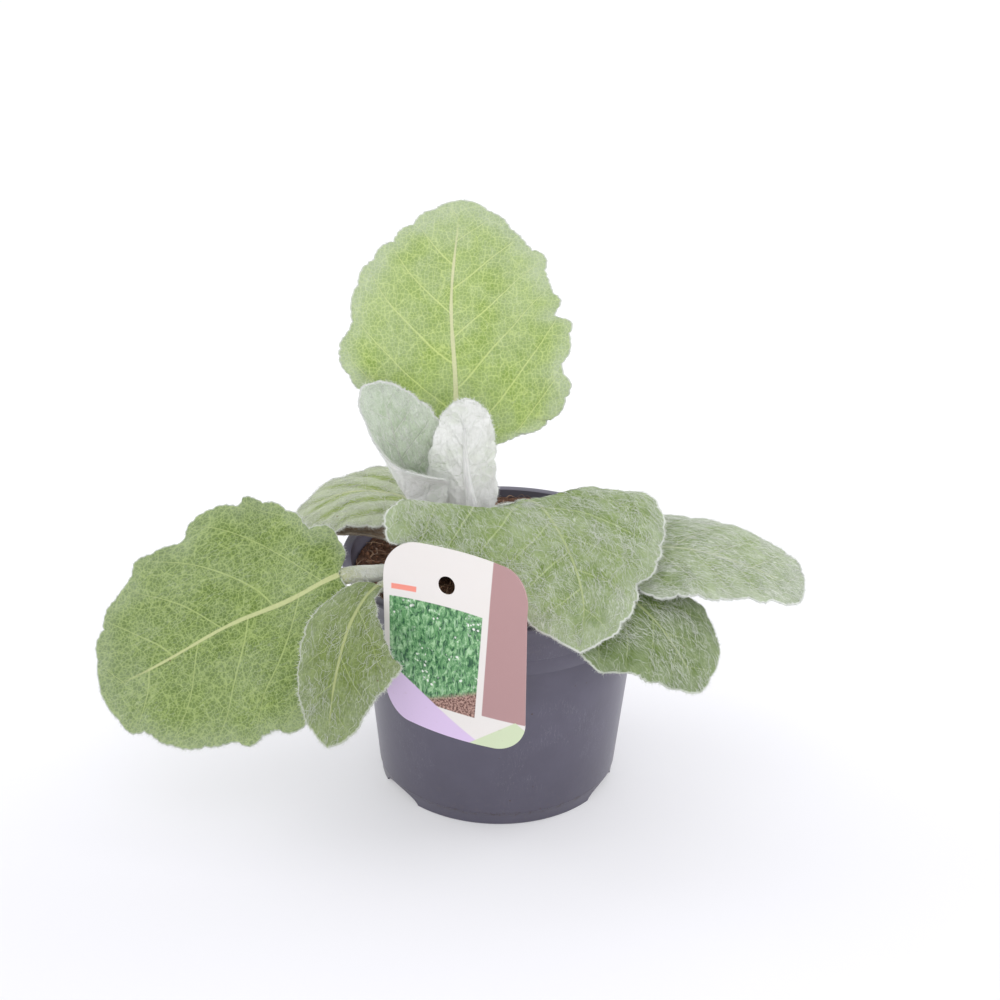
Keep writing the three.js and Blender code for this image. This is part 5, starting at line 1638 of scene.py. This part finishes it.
def card_finish(settings):
    """Printed card: a plain picture panel of leaf greens, a mauve band and soft colour corners."""
    finish = Finish("label_card")
    _, along = label_axes()
    px, py, pz = finish.parts(finish.place())
    x = px * float(along[0]) + py * float(along[1]) - LABEL_SHIFT
    y = pz - LABEL_BOTTOM
    flat = finish.vector(x, y)
    card = tuple(settings.card_colour)
    paper = finish.noise(flat, 0.05, 2)
    blades = finish.noise(finish.warped(finish.vector(x * 0.5, y * 0.3), 0.6, 2.2), 0.9, 4, 0.65)
    stems = finish.noise(finish.warped(finish.vector(x * 0.6, y * 0.1, 5.0), 0.5, 0.8), 0.9, 1)
    flecks = finish.dots(finish.warped(flat, 0.4, 1.4), 0.42).fall(0.2, 0.36)
    flecks = flecks * finish.noise(flat, 0.09, 2).step(0.5, 0.6)
    mulch = finish.noise(flat, 0.9, 3, 0.7)
    mulch = finish.mix(mulch.step(0.4, 0.6), linear(92, 58, 50), linear(186, 150, 138))
    foliage = finish.layers(
        linear(38, 84, 56), (blades.step(0.36, 0.52), linear(98, 152, 98)),
        (blades.step(0.5, 0.66), linear(168, 206, 160)),
        (abs(stems - 0.5).fall(0.0, 0.03) * 0.5, linear(176, 208, 176)),
        (flecks * 0.9, linear(244, 246, 240)), ((y - x * 0.4).step(24.0, 20.0), mulch))
    band = x.step(17.5, 18.0) * y.step(16.0, 16.5)
    corner = (x * 0.5 + y).step(10.5, 9.5)
    field = (abs(x - 36.0) * 0.7 + y).step(17.0, 16.4)
    soil = finish.noise(flat, 0.3, 3, 0.7).step(0.62, 0.8) * y.step(45.0, 5.0)
    colour = finish.layers(
        card, (paper.step(0.3, 0.7) * 0.35, linear(228, 224, 222)),
        (inside_box(x, y, *PANEL_BOX), foliage), (band, tuple(settings.band_colour)),
        (corner, linear(214, 192, 226)), (field, linear(204, 216, 182)),
        (inside_box(x, y, *STRIP_BOX), linear(238, 146, 130)), (soil * 0.3, linear(150, 132, 116)))
    finish.set(Base_Color=colour, Roughness=(paper * 0.12 + soil * 0.3 + 0.3).lesser(0.9), IOR=1.46)
    finish.bump(finish.noise(flat, 0.9, 2) * 0.3 + soil, 0.06, 0.4)
    return finish.material


def hook_finish(settings):
    """White plastic strip with fine grain."""
    finish = Finish("label_hook")
    place = finish.place()
    grain = finish.noise(place, 1.2, 2)
    card = tuple(settings.card_colour)
    finish.set(Base_Color=finish.mix(grain, toned(card, 0.86), card), Roughness=grain * 0.2 + 0.32)
    finish.bump(grain, 0.05, 0.4)
    return finish.material


# Operators

class SAGE_OT_pot(bpy.types.Operator):
    """Build the nursery pot with its ring foot, notches and drain holes."""

    bl_idname = "sage.pot"
    bl_label = "Build Pot"

    def execute(self, context):
        settings = context.scene.sage_pot
        pot = spun("pot_shell", pot_profile(settings.ring_line / MM), POT_SIDES)
        cut_with(pot, drain_cutters())
        smooth(pot, 38)
        dress(pot, pot_finish(settings))
        settle(pot, "pot_plastic", "pot")
        return {"FINISHED"}


class SAGE_OT_soil(bpy.types.Operator):
    """Build the soil with its crumbs and fibres, and the crown that stands in it."""

    bl_idname = "sage.soil"
    bl_label = "Build Soil and Crown"

    def execute(self, context):
        settings = context.scene.sage_soil
        soil = spun("soil_bed", soil_profile(), SOIL_SIDES)
        points = np.array([v.co for v in soil.data.vertices]) / MM
        top = points[:, 2] > SOIL_LEVEL - 0.5
        x, y = points[top, 0], points[top, 1]
        edge = inner_radius(SOIL_LEVEL) - SOIL_PLAY
        calm = np.clip((edge - np.hypot(x, y)) / 2.5, 0, 1)
        points[top, 2] = soil_height(x, y) + crumbly(x, y) * calm
        reshape(soil, points)
        smooth(soil, 60)
        dress(soil, soil_finish(settings))
        settle(soil, "soil", "soil")
        random = np.random.default_rng(SOIL_SEED)
        crumbs = crumbs_piece(random, settings.crumbs)
        dress(crumbs, crumb_finish("soil_crumb", tuple(settings.colour), 0.5),
              crumb_finish("bark_chip", tuple(settings.chip_colour), 0.45))
        settle(crumbs, "soil")
        fibres = fibres_piece(random, settings.fibres)
        dress(fibres, hair_finish("coir_fibre", linear(172, 136, 106)))
        settle(fibres, "soil")
        crown = spun("crown_stem", crown_profile(), 48)
        crown.data.transform(Matrix.Translation((CROWN_CENTRE[0] * MM, CROWN_CENTRE[1] * MM, 0)))
        smooth(crown, 60)
        dress(crown, crown_finish(settings))
        settle(crown, "stem", "crown")
        return {"FINISHED"}


class SAGE_OT_leaves(bpy.types.Operator):
    """Build every leaf blade with its stalk, and the wool on it."""

    bl_idname = "sage.leaves"
    bl_label = "Build Leaves and Wool"

    def execute(self, context):
        settings = context.scene.sage_leaves
        cell = settings.cell / MM
        thickness = settings.thickness / MM
        margin_thickness = settings.margin_thickness / MM
        for name in LEAVES:
            leaf = Leaf(name, cell, thickness, margin_thickness)
            blade = leaf.piece()
            dress(blade, leaf_upper_finish(name + "_upper", leaf, settings),
                  leaf_under_finish(name + "_under", leaf, settings),
                  leaf_margin_finish(name + "_margin", leaf),
                  stalk_finish(name + "_stalk", leaf, settings))
            settle(blade, leaf.row["slot"], name)
            wool = wool_piece(leaf, settings.wool_amount)
            thin, full = linear(*leaf.look["film"]), tuple(settings.wool_colour)
            share = 0.0 if leaf.row["look"] == "dry" else WHITE_SHARE
            shade = tuple(lerp(a, b, share) for a, b in zip(thin, full))
            dress(wool, hair_finish(name + "_hair", shade))
            settle(wool, leaf.row["slot"])
        return {"FINISHED"}


def wool_piece(leaf, amount):
    """All hairs of one leaf: lying on both faces, round the stalk and along the margin."""
    random = np.random.default_rng(leaf.row["seed"] * 101)
    upper, under, margin = leaf.look["hairs"]
    area = leaf.area()
    edge = 2 * leaf.length / 10
    length = leaf.look["hair_length"]
    above, below = int(area * upper * amount) + 1, int(area * under * amount) + 1
    along, round_stalk = int(edge * margin * amount), int(leaf.stalk * STALK_HAIRS_PER_MM * amount)
    sets = [
        leaf.lying_hairs(random, above, length, LYING_HAIR_WIDTH, 0.4, True),
        leaf.lying_hairs(random, below, length * 0.8, LYING_HAIR_WIDTH, 0.7, False),
        leaf.margin_hairs(random, along, FUZZ_LENGTH, FUZZ_WIDTH),
        leaf.stalk_hairs(random, round_stalk, STALK_HAIR_LENGTH, FUZZ_WIDTH),
    ]
    points, faces, shift = [], [], 0
    for set_points, set_faces in sets:
        points.append(set_points)
        faces.append(set_faces + shift)
        shift += len(set_points)
    return array_piece(leaf.name + "_wool", np.concatenate(points), [np.concatenate(faces)])


class SAGE_OT_label(bpy.types.Operator):
    """Build the bent plant label and its hook."""

    bl_idname = "sage.label"
    bl_label = "Build Label"

    def execute(self, context):
        settings = context.scene.sage_label
        card = card_piece()
        smooth(card, 30)
        dress(card, card_finish(settings))
        settle(card, "label_plastic", "label")
        hook = hook_piece()
        smooth(hook, 30)
        dress(hook, hook_finish(settings))
        settle(hook, "label_plastic")
        return {"FINISHED"}


class SAGE_OT_stage(bpy.types.Operator):
    """Lay the pale floor and set the soft lights and the camera."""

    bl_idname = "sage.stage"
    bl_label = "Set Stage"

    def execute(self, context):
        settings = context.scene.sage_stage
        deselect()
        bpy.ops.mesh.primitive_plane_add(size=FLOOR_SIZE, location=(0, 0, 0))
        floor = bpy.context.object
        floor.name = floor.data.name = "floor"
        floor.data.transform(Matrix.Translation((0, 0, -FLOOR_DROP)))
        finish = Finish("pale_floor")
        _, y, _ = finish.parts(finish.place())
        near = tuple(settings.shaded_front_floor_colour)
        # Painted shade and light: the floor is darker at the front and paler towards the back, and its glow
        # is painted light that lifts its shadows.
        finish.set(Base_Color=finish.mix(y.step(-300.0, 700.0), near, linear(222, 222, 224)),
                   Roughness=0.75, Specular_IOR_Level=0.15, Emission_Color=WHITE,
                   Emission_Strength=settings.glow)
        dress(floor, finish.material)
        world = bpy.data.worlds.new("soft_room")
        world.use_nodes = True
        background = world.node_tree.nodes["Background"]
        background.inputs["Color"].default_value = ROOM_COLOUR
        background.inputs["Strength"].default_value = ROOM_LIGHT * settings.light
        context.scene.world = world
        context.scene.view_settings.view_transform = "Standard"
        for name, place, target, size, power in LAMPS:
            self.lamp(name, place, target, size, power * settings.light)
        camera_data = bpy.data.cameras.new("picture_camera")
        camera_data.lens = CAMERA_LENS
        camera_data.sensor_width = CAMERA_SENSOR
        camera = bpy.data.objects.new("picture_camera", camera_data)
        context.scene.collection.objects.link(camera)
        sin_p, cos_p = math.sin(CAMERA_PITCH), math.cos(CAMERA_PITCH)
        sin_y, cos_y = math.sin(CAMERA_YAW), math.cos(CAMERA_YAW)
        forward = Vector((sin_y * cos_p, cos_y * cos_p, -sin_p))
        level = Vector((cos_y, -sin_y, 0))
        above = level.cross(forward)
        sin_r, cos_r = math.sin(CAMERA_ROLL), math.cos(CAMERA_ROLL)
        right = cos_r * level + sin_r * above
        up = -sin_r * level + cos_r * above
        turn = Matrix((right, up, -forward)).transposed().to_4x4()
        camera.matrix_world = Matrix.Translation(CAMERA_PLACE) @ turn
        context.scene.camera = camera
        return {"FINISHED"}

    def lamp(self, name, place, target, size, power):
        data = bpy.data.lights.new(name, "AREA")
        data.shape = "DISK"
        data.size = size
        data.energy = power
        lamp = bpy.data.objects.new(name, data)
        bpy.context.scene.collection.objects.link(lamp)
        lamp.location = place
        lamp.rotation_euler = (Vector(target) - Vector(place)).to_track_quat("-Z", "Y").to_euler()


class SAGE_PT_build(bpy.types.Panel):
    """Buttons that build the potted silver sage."""

    bl_idname = "SAGE_PT_build"
    bl_label = "Silver Sage"
    bl_space_type = "VIEW_3D"
    bl_region_type = "UI"
    bl_category = "Silver Sage"

    def draw(self, context):
        layout = self.layout
        for operator in STEPS:
            layout.operator(operator.bl_idname)
        for group in ("sage_pot", "sage_soil", "sage_leaves", "sage_label", "sage_stage"):
            settings = getattr(context.scene, group)
            box = layout.box()
            for name in settings.__annotations__:
                box.prop(settings, name)


STEPS = (SAGE_OT_pot, SAGE_OT_soil, SAGE_OT_leaves, SAGE_OT_label, SAGE_OT_stage)
GROUPS = {
    "sage_pot": PotSettings, "sage_soil": SoilSettings, "sage_leaves": LeafSettings,
    "sage_label": LabelSettings, "sage_stage": StageSettings,
}


def register():
    for group in GROUPS.values():
        bpy.utils.register_class(group)
    for name, group in GROUPS.items():
        setattr(bpy.types.Scene, name, PointerProperty(type=group))
    for operator in STEPS:
        bpy.utils.register_class(operator)
    bpy.utils.register_class(SAGE_PT_build)


def unregister():
    bpy.utils.unregister_class(SAGE_PT_build)
    for operator in reversed(STEPS):
        bpy.utils.unregister_class(operator)
    for name in GROUPS:
        delattr(bpy.types.Scene, name)
    for group in reversed(list(GROUPS.values())):
        bpy.utils.unregister_class(group)


def main():
    register()
    bpy.ops.sage.pot()
    bpy.ops.sage.soil()
    bpy.ops.sage.leaves()
    bpy.ops.sage.label()
    bpy.ops.sage.stage()


if __name__ == "__main__":
    main()
